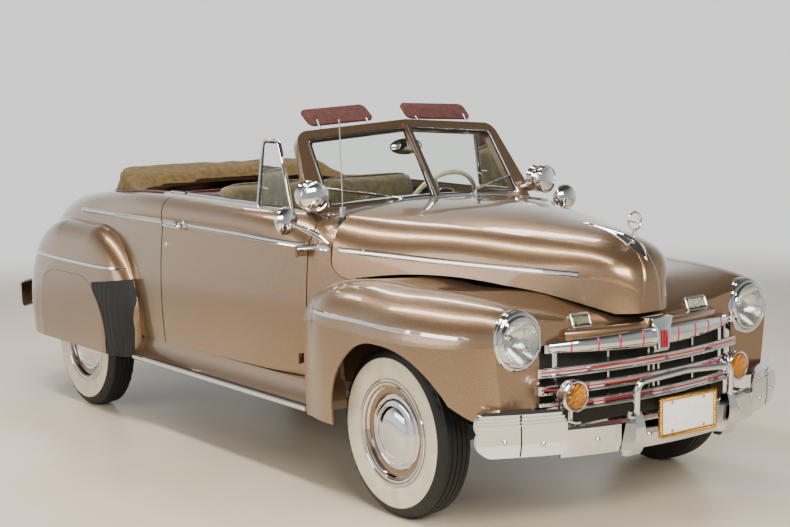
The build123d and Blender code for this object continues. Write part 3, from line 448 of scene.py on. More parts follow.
# A lathed piece about its seat
def lathe(name, seat, profiles, node, materials, sharpAngle=30, steps=64):
    shape = bmesh.new()
    turned(shape, seat, profiles, steps)
    return finishPiece(name, shape, node, materials, sharpAngle)


# A strip swept along (point, outward) pairs
def strip(name, profile, pairs, node, material, sharpAngle=35, closed=False):
    shape = bmesh.new()
    sweep(shape, profile, framesThrough(pairs, closed), closed)
    return finishPiece(name, shape, node, [material], sharpAngle)


# Where rays from outside meet one flank of a node, at (station, z) spots
def onFlank(node, side, spots):
    return layOn(node, [place(side * 0.2, *spot) for spot in spots], (-side, 0, 0))


# A seat at (x, station, z) on one side, which faces along
def seatOn(side, spot, along, outward=(0, 0, 1)):
    x, station, z = spot
    return framed(place(side * x, station, z), (side * along[0], along[1], along[2]), outward)


# (x, station, z) spots on one side
def spotsOn(side, spots):
    return [place(side * x, station, z) for x, station, z in spots]


# Closed circle of (radius, ahead) points for a ring of wire
def wireRing(radius, ahead, wire, steps):
    turns = [math.tau * i / steps for i in range(steps + 1)]
    return [(radius + wire * math.cos(turn), ahead + wire * math.sin(turn)) for turn in turns]


# Wheels and tyres

wheelSeats = (("front", 0.7365, 0.0), ("rear", 0.762, 2.896))  # end, middle plane, station
tyreLook = {
    "whiteFrom": 0.224, "whiteTo": 0.309, "crown": 0.3578, "drop": 0.001, "tread": 0.116, "ribs": 5,
    "groove": 0.006, "foot": 0.0016, "ease": 0.003, "blocksFrom": 0.340, "blocksTo": 0.352, "steps": 144}


# Ribbed tread with blocks cut into its shoulders, a white band and the beads
def makeTyre(hub, label):
    look = tyreLook
    whiteFrom, whiteTo = look["whiteFrom"], look["whiteTo"]
    inner = [(0.213, -0.066), (0.224, -0.068), (0.25, -0.079), (0.29, -0.080), (0.325, -0.074),
             (0.345, -0.064)]
    tread = []
    pitch = look["tread"] / look["ribs"]
    for rib in range(look["ribs"]):
        low = rib * pitch - look["tread"] / 2
        high = low + pitch
        crown = look["crown"] - look["drop"] * (rib - (look["ribs"] - 1) / 2) ** 2
        tread += [(crown - look["groove"], low + look["foot"]), (crown, low + look["ease"]),
                  (crown, high - look["ease"]), (crown - look["groove"], high - look["foot"])]
    outer = [(0.345, 0.064), (0.325, 0.074), (whiteTo + 0.003, 0.0785)]
    white = [(whiteTo + 0.003, 0.0785), (whiteTo, 0.0805), (0.29, 0.0812), (0.25, 0.0795),
             (whiteFrom, 0.0700)]
    bead = [(whiteFrom, 0.0700), (0.219, 0.0665), (0.213, 0.066)]
    shape = bmesh.new()
    turned(shape, hub, [inner + tread + outer, white, bead], look["steps"])
    axis = hub.inverted()
    for corner in shape.verts:
        at = axis @ corner.co
        turn = int((math.atan2(at.y, at.x) / math.tau + 1) * look["steps"] + 0.5)
        onShoulder = look["blocksFrom"] < math.hypot(at.x, at.y) < look["blocksTo"] and abs(at.z) > 0.06
        if onShoulder and turn % 4 < 2:
            corner.co = hub @ Vector((at.x * 0.985, at.y * 0.985, at.z * 0.97))
    node = "tyre_" + label
    piece = finishPiece("treaded_" + node, shape, node, [tyreRubber, whitewall, tyreRubber], 30)
    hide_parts(node)


coverShape = {
    "ring": [(0.2235, 0.072), (0.2215, 0.0765), (0.217, 0.0775), (0.2115, 0.0735), (0.2085, 0.0735),
             (0.2065, 0.0760), (0.2000, 0.0740), (0.1930, 0.0650), (0.1880, 0.0560), (0.186, 0.0540),
             (0.188, 0.0500)],
    "cap": [(0.160, 0.040), (0.160, 0.050), (0.156, 0.0545), (0.150, 0.0555), (0.146, 0.0535),
            (0.141, 0.0535), (0.135, 0.0600), (0.126, 0.0640), (0.118, 0.0650), (0.1135, 0.0632),
            (0.110, 0.0640), (0.104, 0.0690), (0.092, 0.0765), (0.074, 0.0830), (0.052, 0.0870),
            (0.026, 0.0890), (0.0001, 0.0894)],
    "dish": [(0.188, 0.050), (0.178, 0.046), (0.166, 0.045), (0.160, 0.046)], "steps": 96}


# Beauty ring round the rim, and a stepped cap with a domed middle
def makeWheelCover(hub, label):
    shape = bmesh.new()
    for part in ("ring", "cap"):
        turned(shape, hub, [coverShape[part]], coverShape["steps"])
    node = "wheel_" + label
    finishPiece("wheel_cover_" + label, shape, node, [plating], 24)
    lathe("painted_disc_" + label, hub, [coverShape["dish"]], node, [enamel], 40,
          coverShape["steps"])


for end, planeX, station in wheelSeats:
    for side, word in ((1, "left"), (-1, "right")):
        hub = seatOn(side, (planeX, station, 0.358), (1, 0, 0))
        makeTyre(hub, end + "_" + word)
        makeWheelCover(hub, end + "_" + word)
print("wheels dressed")


# Bright trims along the body

beltLook = {"width": 0.026, "height": 0.0085, "steps": 40}  # steps for each metre
beltHeights = (
    (-0.50, 1.006), (-0.2, 1.020), (0.1, 1.036), (0.4, 1.052), (0.56, 1.060), (0.70, 1.068), (1.2, 1.088),
    (1.95, 1.100), (2.95, 1.094))


def beltHeight(station):
    for (a, low), (b, high) in zip(beltHeights, beltHeights[1:]):
        if station <= b:
            return low + (high - low) * (station - a) / (b - a)
    return beltHeights[-1][1]


def makeBelt(side, word):
    runs = (("bonnet", "bonnet", -0.50, 0.545), ("cowl", "cowl", 0.585, 0.694),
            ("door", "door_" + word, 0.715, 1.945), ("quarter", "quarter_" + word, 1.965, 2.99))
    for label, node, start, end in runs:
        steps = max(4, int(beltLook["steps"] * (end - start)))
        stations = [start + (end - start) * i / steps for i in range(steps + 1)]
        pairs = onFlank(node, side, [(station, beltHeight(station)) for station in stations])
        strip("belt_trim_" + label + "_" + word, twinStrip(beltLook["width"], beltLook["height"]), pairs,
              node, plating, 20)


spearTrim = {
    "width": 0.021, "height": 0.009, "ends": ((0, 0.3), (1, 0.75), (2, 0.95), (-1, 0.4), (-2, 0.85)),
    "front": ((-0.535, 0.817), (0.448, 0.826)), "rear": ((2.262, 0.824), (3.33, 0.836))}


# Single spears on the wings, thicker and rounded at the front
def makeWingSpears(side, word):
    for label in ("front", "rear"):
        node = label + "_wing_" + word
        ends = [place(side * 0.2, *spot) for spot in spearTrim[label]]
        frames = framesThrough(layOn(node, spread(ends, 40), (-side, 0, 0)))
        for i, scale in spearTrim["ends"]:
            frames[i] = frames[i] @ Matrix.Diagonal((scale, max(scale, 0.6), 1, 1))
        shape = bmesh.new()
        sweep(shape, flatStrip(spearTrim["width"], spearTrim["height"]), frames)
        finishPiece("wing_spear_" + label + "_" + word, shape, node, [plating], 20)


sillLook = {"out": 0.866, "trim": (0.372, 0.026, 0.007),
            "seam": (0.3895, 0.007, 0.003)}  # height, width, relief


def makeSillTrim(side, word):
    parts = (("trim", (0.56, 0.9, 1.4, 1.9, 2.225), plating, "chrome", 20),
             ("seam", (0.56, 1.4, 2.225), sealRubber, None, 35))
    for part, stations, material, slot, angle in parts:
        z, width, relief = sillLook[part]
        rows = [(place(side * sillLook["out"], station, z), Vector((side, 0, 0))) for station in stations]
        strip("sill_" + part + "_" + word, flatStrip(width, relief), rows, "sills", material, angle)


cappingLook = {"x": 0.662, "door": (1.235, 1.942), "quarter": (1.965, 2.12), "size": (0.014, 0.007),
               "wipe": (0.010, 0.010), "inward": 0.013}


# Bright capping and rubber along the inner edge of the door and quarter tops
def makeCappings(side, word):
    look = cappingLook
    for label in ("door", "quarter"):
        node = label + "_" + word
        guides = spread([place(side * look["x"], station, 1.3) for station in look[label]], 14)
        pairs = layOn(node, guides, (0, 0, -1))
        strip("capping_" + node, flatStrip(*look["size"]), pairs, node, plating, 20)
        inner = [(point - Vector((side * look["inward"], 0, 0)), normal) for point, normal in pairs]
        strip("window_wipe_" + node, flatStrip(*look["wipe"]), inner, node, sealRubber)


handleLook = {
    "spots": (1.735, 1.80, 1.86, 1.905), "z": 1.099, "rise": (0.030, 0.036, 0.034, 0.024), "radius": 0.0085,
    "rose": [(0.020, 0.0), (0.020, 0.006), (0.015, 0.012), (0.0001, 0.014)], "lock": (1.905, 0.985),
    "lockShape": [(0.013, -0.002), (0.013, 0.003), (0.010, 0.005), (0.0001, 0.005)]}


# Curved grip on a round rose, and the lock below it
def makeDoorHandle(side, word):
    node = "door_" + word
    shape = bmesh.new()
    pairs = onFlank(node, side, [(station, handleLook["z"]) for station in handleLook["spots"]])
    grip = [pairs[0][0] + pairs[0][1] * 0.004]
    grip += [point + normal * rise for (point, normal), rise in zip(pairs, handleLook["rise"])]
    tubeThrough(shape, grip, handleLook["radius"])
    turned(shape, framed(pairs[0][0], pairs[0][1], (0, 0, 1)), [handleLook["rose"]], 32)
    finishPiece("door_handle_" + word, shape, node, [plating])
    point, normal = onFlank(node, side, [handleLook["lock"]])[0]
    lathe("door_lock_" + word, framed(point, normal, (0, 0, 1)), [handleLook["lockShape"]], node, [plating],
          35, 32)


guardLook = {
    "ribs": 7, "rows": 14, "front": 2.242, "back": 2.56, "top": 0.775, "foot": 0.372, "low": 0.0045,
    "high": 0.0085, "thick": 0.004}


# Ribbed rubber guard over the leading edge of the rear wing
def makeStoneGuard(side, word):
    look = guardLook
    shape = bmesh.new()
    columns = look["ribs"] * 4
    grid = bmesh.ops.create_grid(shape, x_segments=columns, y_segments=look["rows"], size=0.5)["verts"]
    for corner in grid:
        i = round((corner.co.x + 0.5) * columns)
        across = i / columns
        down = round((corner.co.y + 0.5) * look["rows"]) / look["rows"]
        front = look["front"] + 0.004 * down
        back = look["back"] - 0.115 * down ** 1.6 + 0.02 * math.sin(math.pi * down)
        top = look["top"] - 0.035 * across
        spot = place(side * 1.2, front + (back - front) * across, top - (top - look["foot"]) * down)
        found = None
        for step in range(40):  # steps along the car until the ray meets the wing
            aside = spot + Vector((0, 0.003 * step * (1 if i < (columns + 1) / 2 else -1), 0))
            found = found or meet("rear_wing_" + word, aside, (-side, 0, 0))
        corner.co = found[0] + found[1] * (look["low"] if i % 4 in (0, 1) else look["high"])
    bmesh.ops.solidify(shape, geom=shape.faces[:], thickness=look["thick"])
    finishPiece("stone_guard_" + word, shape, "rear_wing_" + word, [sealRubber], 25)


for build in (makeBelt, makeWingSpears, makeSillTrim, makeCappings, makeDoorHandle, makeStoneGuard):
    bothSides(build)
print("trims laid")


# Lamps

# Shifts a lens's corners along its axis by what the rule gives at each place on it
def ripple(lens, seat, rule):
    for corner in lens.verts:
        corner.co += seat.to_3x3() @ Vector((0, 0, rule(seat.inverted() @ corner.co)))


headlampLook = {
    "seat": (0.650, -0.588, 0.800), "flutes": 26, "fluteDepth": 0.0007, "lens": 0.088, "edge": 0.0455,
    "crown": 0.021, "glass": 0.003,
    "shell": [(0.1190, 0.006), (0.1190, -0.030), (0.1020, -0.075), (0.0700, -0.100), (0.0001, -0.106)],
    "rim": [(0.1225, 0.006), (0.1225, 0.014), (0.1195, 0.0205), (0.1195, 0.0265), (0.1150, 0.0335),
            (0.1085, 0.0365), (0.1040, 0.0365), (0.1010, 0.0415), (0.0960, 0.0470), (0.0905, 0.0480),
            (0.0885, 0.0440)],
    "bulb": [(0.0001, 0.020), (0.014, 0.018), (0.019, 0.008), (0.017, -0.004), (0.012, -0.026)]}


# Height of the headlamp's glass above its seat, at a radius
def lensSkin(radius):
    return headlampLook["edge"] + headlampLook["crown"] * math.sqrt(max(0.0, 1 - (radius / 0.0896) ** 2))


# Shell, polished rim, deep silvered bowl with its bulb shield, and a fluted glass
def makeHeadlamp(side, word):
    look = headlampLook
    seat = seatOn(side, look["seat"], (0, -1, 0))
    housing = lathe("headlamp_shell_" + word, seat, [look["shell"]], "headlamps", [chassisBlack], 40)
    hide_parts("headlamps")
    lathe("headlamp_rim_" + word, seat, [look["rim"]], "headlamps", [plating], 24, 96)
    bowl = [(0.0890 * i / 16 + 0.0001, 0.044 - 0.072 * (1 - (i / 16) ** 2)) for i in range(16, -1, -1)]
    lathe("headlamp_bowl_" + word, seat, [bowl, look["bulb"]], "headlamps", [reflector, plating],
          24, 96)
    turns = [math.radians(9 * i) for i in range(10, -1, -1)]
    outside = [(0.0895 * math.sin(t) + 0.0001, look["edge"] + look["crown"] * math.cos(t)) for t in turns]
    inside = [(radius * 0.985, ahead - look["glass"]) for radius, ahead in reversed(outside)]
    lens = bmesh.new()
    turned(lens, seat, [outside + inside + outside[:1]], 192)
    pitch = 2 * look["lens"] / look["flutes"]

    def fluteAt(at):  # flutes are pressed into the inner skin only
        behind = at.z < lensSkin(math.hypot(at.x, at.y)) - 0.0015
        return look["fluteDepth"] * math.cos(math.tau * at.x / pitch) if behind else 0.0

    ripple(lens, seat, fluteAt)
    finishPiece("headlamp_lens_" + word, lens, "headlamps", [flutedGlass], 60)


parkingLook = {
    "seat": (0.330, -0.602, 0.842), "lean": -22, "toe": -6, "half": (0.042, 0.0165), "corner": 0.010,
    "ahead": 0.0165, "bezel": 0.0055, "glass": (0.096, 0.046, 0.012), "ribs": 9, "rib": 0.0030}


# Rounded bezel with a ribbed glass, on the wing beside the nose
def makeParkingLamp(side, word):
    look = parkingLook
    x, station, z = look["seat"]
    lean = Matrix.Rotation(math.radians(look["lean"]), 4, "X")
    toe = Matrix.Rotation(math.radians(look["toe"] * side), 4, "Z")
    upright = Matrix.Rotation(math.radians(90), 4, "X")
    seat = Matrix.Translation(place(side * x, station, z)) @ lean @ toe @ upright
    facing = seat.to_3x3() @ Vector((0, 0, 1))
    path = []
    for signX, signY, start in ((1, 1, 0), (-1, 1, 90), (-1, -1, 180), (1, -1, 270)):
        for i in range(5):
            turn = math.radians(start + 22.5 * i)
            across = signX * look["half"][0] + look["corner"] * math.cos(turn)
            up = signY * look["half"][1] + look["corner"] * math.sin(turn)
            path.append((seat @ Vector((across, up, look["ahead"])), facing))
    strip("parking_bezel_" + word, roundProfile(look["bezel"]), path, "parking_lamps", plating,
          40, True)
    glass = bmesh.new()
    roundedBlock(glass, seat @ Matrix.Translation((0, 0, 0.017)), *look["glass"], 0.009, 0.003)
    for i in range(look["ribs"]):
        across = -0.040 + 0.010 * i
        path = [(seat @ Vector((across, up, 0.0225)), facing) for up in (-0.018, -0.006, 0.006, 0.018)]
        sweep(glass, roundProfile(look["rib"], 8), framesThrough(path))
    finishPiece("parking_lens_" + word, glass, "parking_lamps", [ribbedGlass], 40)


fogLook = {
    "seat": (0.462, -0.729, 0.580), "facing": (0.04, -1, 0.02), "ribDepth": 0.0017, "ribPitch": 0.0105,
    "rim": [(0.060, -0.030), (0.0635, -0.012), (0.0640, 0.000), (0.0625, 0.007), (0.058, 0.010),
            (0.054, 0.009), (0.052, 0.004)],
    "bowl": [(0.048, -0.029), (0.036, -0.046), (0.020, -0.056), (0.0001, -0.058)],
    "lens": [(0.053, 0.006), (0.045, 0.0115), (0.030, 0.0165), (0.015, 0.0190), (0.0001, 0.0198)]}


def makeFogLamp(side, word):
    look = fogLook
    seat = seatOn(side, look["seat"], look["facing"])
    lathe("fog_lamp_rim_" + word, seat, [look["rim"], look["bowl"]], "fog_lamps", [plating, plating])
    lens = bmesh.new()
    turned(lens, seat, [look["lens"]], 96)
    ripple(lens, seat, lambda at: look["ribDepth"] * math.cos(math.tau * at.y / look["ribPitch"]))
    finishPiece("fog_lamp_lens_" + word, lens, "fog_lamps", [amberGlass], 60)


spotLook = {
    "seat": (0.690, 0.716, 1.283), "facing": (0.2, -1, -0.05), "rings": (-0.020, -0.032, -0.044),
    "shell": [(0.0001, -0.108), (0.016, -0.106), (0.034, -0.096), (0.048, -0.078), (0.057, -0.054),
              (0.0625, -0.026), (0.0645, -0.008), (0.0690, -0.006), (0.0700, 0.003), (0.0670, 0.009),
              (0.0620, 0.010), (0.0600, 0.006)],
    "lens": [(0.0605, 0.007), (0.050, 0.0125), (0.034, 0.0175), (0.017, 0.0200), (0.0001, 0.0208)]}


# Bullet-backed spot lamp with a stepped bezel
def makeSpotLamp(side, word):
    seat = seatOn(side, spotLook["seat"], spotLook["facing"])
    shape = bmesh.new()
    turned(shape, seat, [spotLook["shell"], spotLook["lens"]], 64)
    for ring in spotLook["rings"]:
        turned(shape, seat, [[(0.0625, ring - 0.003), (0.0660, ring), (0.0625, ring + 0.003)]], 64)
    finishPiece("spot_lamp_shell_" + word, shape, "spot_lamps", [plating, flutedMirror], 30)


mirrorLook = {
    "seat": (0.830, 0.736, 1.184), "facing": (0.2, 1, 0), "stalk": 0.0062,
    "through": ((0.700, 0.600, 1.085), (0.745, 0.640, 1.135), (0.790, 0.690, 1.160), (0.826, 0.722, 1.180)),
    "shell": [(0.0001, -0.027), (0.020, -0.025), (0.040, -0.019), (0.055, -0.011), (0.0635, -0.003),
              (0.0645, 0.004), (0.0630, 0.009), (0.059, 0.010)],
    "glass": [(0.059, 0.010), (0.0585, 0.0085), (0.0001, 0.0085)]}


def makeDoorMirror(side, word):
    shape = bmesh.new()
    seat = seatOn(side, mirrorLook["seat"], mirrorLook["facing"])
    turned(shape, seat, [mirrorLook["shell"], mirrorLook["glass"]], 64)
    tubeThrough(shape, spotsOn(side, mirrorLook["through"]), mirrorLook["stalk"])
    finishPiece("door_mirror_shell_" + word, shape, "mirrors", [plating, flutedMirror], 30)


tailLook = {
    "seat": (0.600, 3.775, 0.740),
    "rim": [(0.0465, -0.060), (0.0490, -0.012), (0.0490, 0.002), (0.046, 0.005), (0.041, 0.004),
            (0.040, 0.000)], "lens": [(0.0405, 0.002), (0.034, 0.008), (0.022, 0.012), (0.010, 0.0136),
                                      (0.0001, 0.014)]}


def makeTailLamp(side, word):
    seat = seatOn(side, tailLook["seat"], (0, 1, 0))
    lathe("tail_lamp_rim_" + word, seat, [tailLook["rim"]], "tail_lamps", [plating], 30, 48)
    lathe("tail_lamp_lens_" + word, seat, [tailLook["lens"]], "tail_lamps", [rubyGlass], 60, 48)


for build in (makeHeadlamp, makeParkingLamp, makeFogLamp, makeSpotLamp, makeDoorMirror, makeTailLamp):
    bothSides(build)
print("lamps and mirrors made")


# Grille, badge and plate

grilleLook = {
    "bars": ((0.664, 0.550), (0.595, 0.548), (0.528, 0.545)), "redLines": (0.10, 0.205, 0.31, 0.415),
    "pinHeight": 0.0065, "pinLift": 0.002, "lipLift": 0.0145, "lip": 0.0062}  # bars as height, reach
capLook = {"reach": 0.505, "z": 0.761, "half": 0.038, "endShare": 0.56, "bulge": 0.014}


# Pairs along the grille's front at a height, kept no further forward than the limit; they fan outward
def grillePairs(reach, z, count, limit):
    spots = spread([place(-reach, -1.2, z), place(reach, -1.2, z)], count)
    found = [point for point, _ in layOn("grille", spots, (0, 1, 0)) if point.y > frontAxleY - limit]
    return [(point, Vector((point.x * 0.45, -1, 0)).normalized()) for point in found]


# Frames along the grille's top bar, narrowing toward its ends
def capFrames():
    frames = []
    for frameAt in framesThrough(grillePairs(capLook["reach"], capLook["z"], 73, 0.76)):
        taper = 1 - (1 - capLook["endShare"]) * (abs(frameAt.translation.x) / capLook["reach"]) ** 1.5
        frames.append(frameAt @ Matrix.Diagonal((taper, 1, 1, 1)))
    return frames


# Full chrome moulding over the top bar
def makeCapMoulding():
    shape = bmesh.new()
    turns = [math.radians(15 * i) for i in range(13)]
    profile = [(capLook["half"] * math.cos(turn), capLook["bulge"] * math.sin(turn)) for turn in turns]
    sweep(shape, profile + [(-0.020, -0.006), (0.020, -0.006)], capFrames())
    finishPiece("grille_cap_moulding", shape, "grille", [plating], 40)


# Red pinstripes along the bars and across the moulding
def makeGrilleLines():
    shape = bmesh.new()
    for z, reach in grilleLook["bars"]:
        pairs = grillePairs(reach, z + grilleLook["pinLift"], 60, 0.72)
        sweep(shape, flatStrip(grilleLook["pinHeight"], 0.0016, 0.001), framesThrough(pairs))
    frames = capFrames()
    for x in grilleLook["redLines"]:
        for side in (1, -1):
            seat = min(frames, key=lambda frameAt: abs(frameAt.translation.x - side * x))
            pairs = []
            for i in range(9):
                turn = math.radians(30 + 15 * i)
                across, out = capLook["half"] * math.cos(turn), capLook["bulge"] * math.sin(turn)
                outward = seat.to_3x3() @ Vector((across * 0.3, 1, 0))
                pairs.append((seat @ Vector((across, out + 0.0006, 0)), outward))
            sweep(shape, flatStrip(0.0075, 0.0014, 0.001), framesThrough(pairs))
    finishPiece("grille_red_lines", shape, "grille", [redEnamel], 40)


# Rounded upper and lower lips on each bar
def makeBarLips():
    shape = bmesh.new()
    for z, reach in grilleLook["bars"]:
        for lift in (-grilleLook["lipLift"], grilleLook["lipLift"]):
            pairs = grillePairs(reach, z + lift, 60, 0.72)
            sweep(shape, roundProfile(grilleLook["lip"], 10), framesThrough(pairs))
    finishPiece("grille_bar_lips", shape, "grille", [plating], 40)


shadeBaffleLook = {"reach": 0.52, "station": -0.565, "bow": 0.055, "z": 0.625, "height": 0.235, "thick": 0.003}


# Black sheet behind the bars, as painted shade: it stands in for the shadowed opening behind the grille, so
# the engine bay doesn't show
def makeShadeBaffle():
    look = shadeBaffleLook
    path = []
    for i in range(17):
        t = (i - 8) / 8
        x = look["reach"] * t
        outward = Vector((x * 0.3, -1, 0)).normalized()
        path.append((place(x, look["station"] - look["bow"] * (1 - t * t), look["z"]), outward))
    profile = flatStrip(look["height"], look["thick"])
    # the sheet is painted shade for the dark opening behind the bars
    strip("grille_shade_baffle", profile, path, "grille", chassisBlack, 40)


# Half the badge's outline as (x, z), from its foot up
badgeLook = {
    "outline": ((0.022, 0.706), (0.031, 0.712), (0.036, 0.790), (0.050, 0.812), (0.062, 0.838)),
    "front": -0.757, "depth": 0.060, "sweepBack": 0.016, "ease": 0.0035, "bars": (-0.0135, 0.0, 0.0135)}


# Flared chrome badge with three red bars; its head stays plain
def makeBadge():
    look = badgeLook
    shape = bmesh.new()
    outline = [(-x, z) for x, z in reversed(look["outline"])] + list(look["outline"])
    ring = []
    for x, z in outline:
        ring.append(shape.verts.new(place(x, look["front"] + look["sweepBack"] * (abs(x) / 0.062) ** 2, z)))
    face = shape.faces.new(ring)
    made = bmesh.ops.extrude_face_region(shape, geom=[face])["geom"]
    back = [item for item in made if isinstance(item, bmesh.types.BMVert)]
    bmesh.ops.translate(shape, verts=back, vec=(0, look["depth"], 0))
    bmesh.ops.bevel(shape, geom=list(face.edges), offset=look["ease"], segments=3, profile=0.5,
                    affect="EDGES", material=-1)
    finishPiece("centre_badge", shape, "grille", [plating], 40)
    bars = bmesh.new()
    for x in look["bars"]:
        path = [(place(x, look["front"] - 0.0003, z), Vector((0, -1, 0)))
                for z in (0.718, 0.742, 0.766, 0.788)]
        sweep(bars, flatStrip(0.0068, 0.0026, 0.001), framesThrough(path))
    finishPiece("badge_red_bars", bars, "grille", [redEnamel], 40)


plateLook = {
    "seat": (0, -0.8795, 0.471), "size": (0.300, 0.146, 0.003), "half": (0.153, 0.073), "strand": 0.0062,
    "twist": 0.0035, "turns": 40, "screws": (0.089, 0.056),
    "screw": [(0.0065, 0.0), (0.0065, 0.002), (0.004, 0.004), (0.0001, 0.0045)]}


# Blank plate in a rope-edged brass frame, held by four screws
def makePlate():
    look = plateLook
    seat = seatOn(1, look["seat"], (0, -1, 0))
    plate = bmesh.new()
    roundedBlock(plate, seat, *look["size"], 0.008, 0.001)
    finishPiece("blank_plate", plate, "front_plate", [plateWhite], 40)
    shape = bmesh.new()
    halfX, halfY = look["half"]
    corners = [Vector((halfX * i, halfY * j, 0)) for i, j in ((1, 1), (-1, 1), (-1, -1), (1, -1), (1, 1))]
    for phase in (0.0, math.pi):
        path = []
        for point in spread(corners, 180)[:-1]:
            turn = math.tau * look["turns"] * len(path) / 179 + phase
            around = Vector((point.x / halfX, point.y / halfY,
                             0)).normalized() * look["twist"] * math.cos(turn)
            above = Vector((0, 0, 0.004 + look["twist"] * math.sin(turn)))
            path.append((seat @ (point + around + above), seat.to_3x3() @ Vector((0, 0, 1))))
        sweep(shape, roundProfile(look["strand"], 6), framesThrough(path, True), True)
    finishPiece("plate_frame", shape, "front_plate", [goldPlate], 60)
    screws = bmesh.new()
    for x in (-look["screws"][0], look["screws"][0]):
        for z in (look["screws"][1], -look["screws"][1]):
            turned(screws, framed(seat @ Vector((x, z, 0.002)), (0, -1, 0), (0, 0, 1)), [look["screw"]], 20)
    finishPiece("plate_screws", screws, "front_plate", [goldPlate], 30)


bumperLook = {
    "bolts": ((0.62, 0.415), (0.76, 0.43), (0.40, 0.41), (0.16, 0.40)), "seam": (0.700, 0.372, 0.535),
    "head": [(0.0115, -0.001), (0.011, 0.003), (0.007, 0.0065), (0.0001, 0.0078)]}


# Domed bolt heads and seams on the bumpers
def makeBumperBolts():
    shape = bmesh.new()
    for x, z in bumperLook["bolts"]:
        for side in (1, -1):
            for point, normal in layOn("front_bumper", [place(side * x, -1.6, z)], (0, 1, 0)):
                turned(shape, framed(point, normal, (0, 0, 1)), [bumperLook["head"]], 24)
    finishPiece("bumper_bolts", shape, "front_bumper", [plating], 40)
    seams = bmesh.new()
    x, low, high = bumperLook["seam"]
    for side in (1, -1):
        spots = spread([place(side * x, -1.6, low), place(side * x, -1.6, high)], 14)
        sweep(seams, flatStrip(0.006, 0.0015, 0.001),
              framesThrough(layOn("front_bumper", spots, (0, 1, 0))))
    finishPiece("bumper_seams", seams, "front_bumper", [sealRubber], 40)


for build in (makeCapMoulding, makeGrilleLines, makeBarLips, makeShadeBaffle, makeBadge, makePlate,
              makeBumperBolts):
    build()
print("front dressed")


# Windscreen, wipers and quarter lights

paneFoot = Vector((0, 0.722, 1.241))
paneOuter = Vector((0.568, 0.791, 1.219))
paneHead = Vector((0, 0.943, 1.571))
paneAlong = (paneOuter - paneFoot).normalized()
paneNormal = (paneOuter - paneFoot).cross(paneHead - paneFoot).normalized()
paneUp = paneNormal.cross(paneAlong)


# A point on one pane: out from the divider, up the slope, and forward of the glass
def onPane(side, across, up, forward=0.0):
    point = paneFoot + paneAlong * across + paneUp * up + paneNormal * forward
    return place(side * point.x, point.y, point.z)


def paneFacing(side):
    return Vector((side * paneNormal.x, paneNormal.y, paneNormal.z))


# One pane's outline as (across, up), drawn in by the inset; its upper outer corner is round
def paneOutline(inset):
    low, left, radius = 0.004 + inset, 0.018 + inset, 0.034
    outline = [(left, low), (0.20, low), (0.40, low), (0.566 - inset, low), (0.563 - inset, 0.18)]
    for i in range(7):
        turn = math.radians(15 * i)
        outline.append((0.5255 - inset + radius * math.cos(turn), 0.3325 - inset + radius * math.sin(turn)))
    return outline + [(0.40, 0.3715 - inset), (0.20, 0.3793 - inset), (left, 0.3865 - inset), (left, 0.20)]


# Plated bead round each pane, and the rubber inside it
def makeScreenTrim(side, word):
    for name, inset, forward, profile, material, slot in (
            ("screen_bead_", 0.0, 0.0065, flatStrip(0.0105, 0.0045), plating, "chrome"),
            ("screen_rubber_", 0.008, 0.0032, flatStrip(0.009, 0.0035), sealRubber, None)):
        pairs = [(onPane(side, x, y, forward), paneFacing(side)) for x, y in paneOutline(inset)]
        strip(name + word, profile, pairs, "windshield_frame", material, 40, True)


# Arm, holder and blade; arm and holder run through (across, up, forward) points on the pane
wiperLook = {
    "pivot": (0.222, 0.700, 1.235), "armRadius": 0.0032, "holderRadius": 0.0030,
    "boss": [(0.014, -0.012), (0.014, 0.006), (0.010, 0.012), (0.006, 0.016), (0.0001, 0.017)],
    "arm": ((0.25, 0.010, 0.030), (0.33, 0.036, 0.026), (0.41, 0.060, 0.020)),
    "holder": ((0.265, 0.027, 0.013), (0.34, 0.046, 0.016), (0.41, 0.062, 0.017), (0.49, 0.081, 0.016),
               (0.560, 0.098, 0.013))}


def makeWiper(side, word):
    look = wiperLook
    wiper = bmesh.new()
    pivot, = spotsOn(side, [look["pivot"]])
    turned(wiper, framed(pivot, (0, -0.5, 0.85), (0, 1, 0)), [look["boss"]], 24)
    arm = [pivot + Vector((0, -0.004, 0.012))] + [onPane(side, *spot) for spot in look["arm"]]
    tubeThrough(wiper, arm, look["armRadius"])
    tubeThrough(wiper, [onPane(side, *spot) for spot in look["holder"]], look["holderRadius"])
    blade = []
    for i in range(7):
        blade.append((onPane(side, 0.262 + 0.050 * i, 0.026 + 0.012 * i, 0.008), paneFacing(side)))
    sweep(wiper, flatStrip(0.005, 0.004, 0.003), framesThrough(blade), False, 1)
    finishPiece("wiper_" + word, wiper, "windshield_frame", [plating, sealRubber], 40)


footLook = {
    "reach": 0.63, "station": 0.662, "bow": 0.085, "size": (0.013, 0.007), "dividerSize": (0.019, 0.006),
    "dividerLift": (0, -0.010, 0.006), "dividerFacing": (0, -0.83, 0.56)}


# Bright strip along the cowl at the foot of the screen, and the bar between the panes
def makeScreenFoot():
    look = footLook
    spots = []
    for i in range(29):
        x = look["reach"] * (i - 14) / 14
        spots.append(place(x, look["station"] + look["bow"] * abs(x) ** 1.2, 1.6))
    pairs = layOn("cowl", spots, (0, 0, -1))
    strip("screen_foot_strip", flatStrip(*look["size"]), pairs, "cowl", plating, 30)
    path = []
    for i in range(5):
        spot = paneFoot.lerp(paneHead, i / 4)
        spot = place(*spot) + Vector(look["dividerLift"])
        path.append((spot, Vector(look["dividerFacing"])))
    strip("screen_divider", flatStrip(*look["dividerSize"]), path, "windshield_frame", plating,
          30)


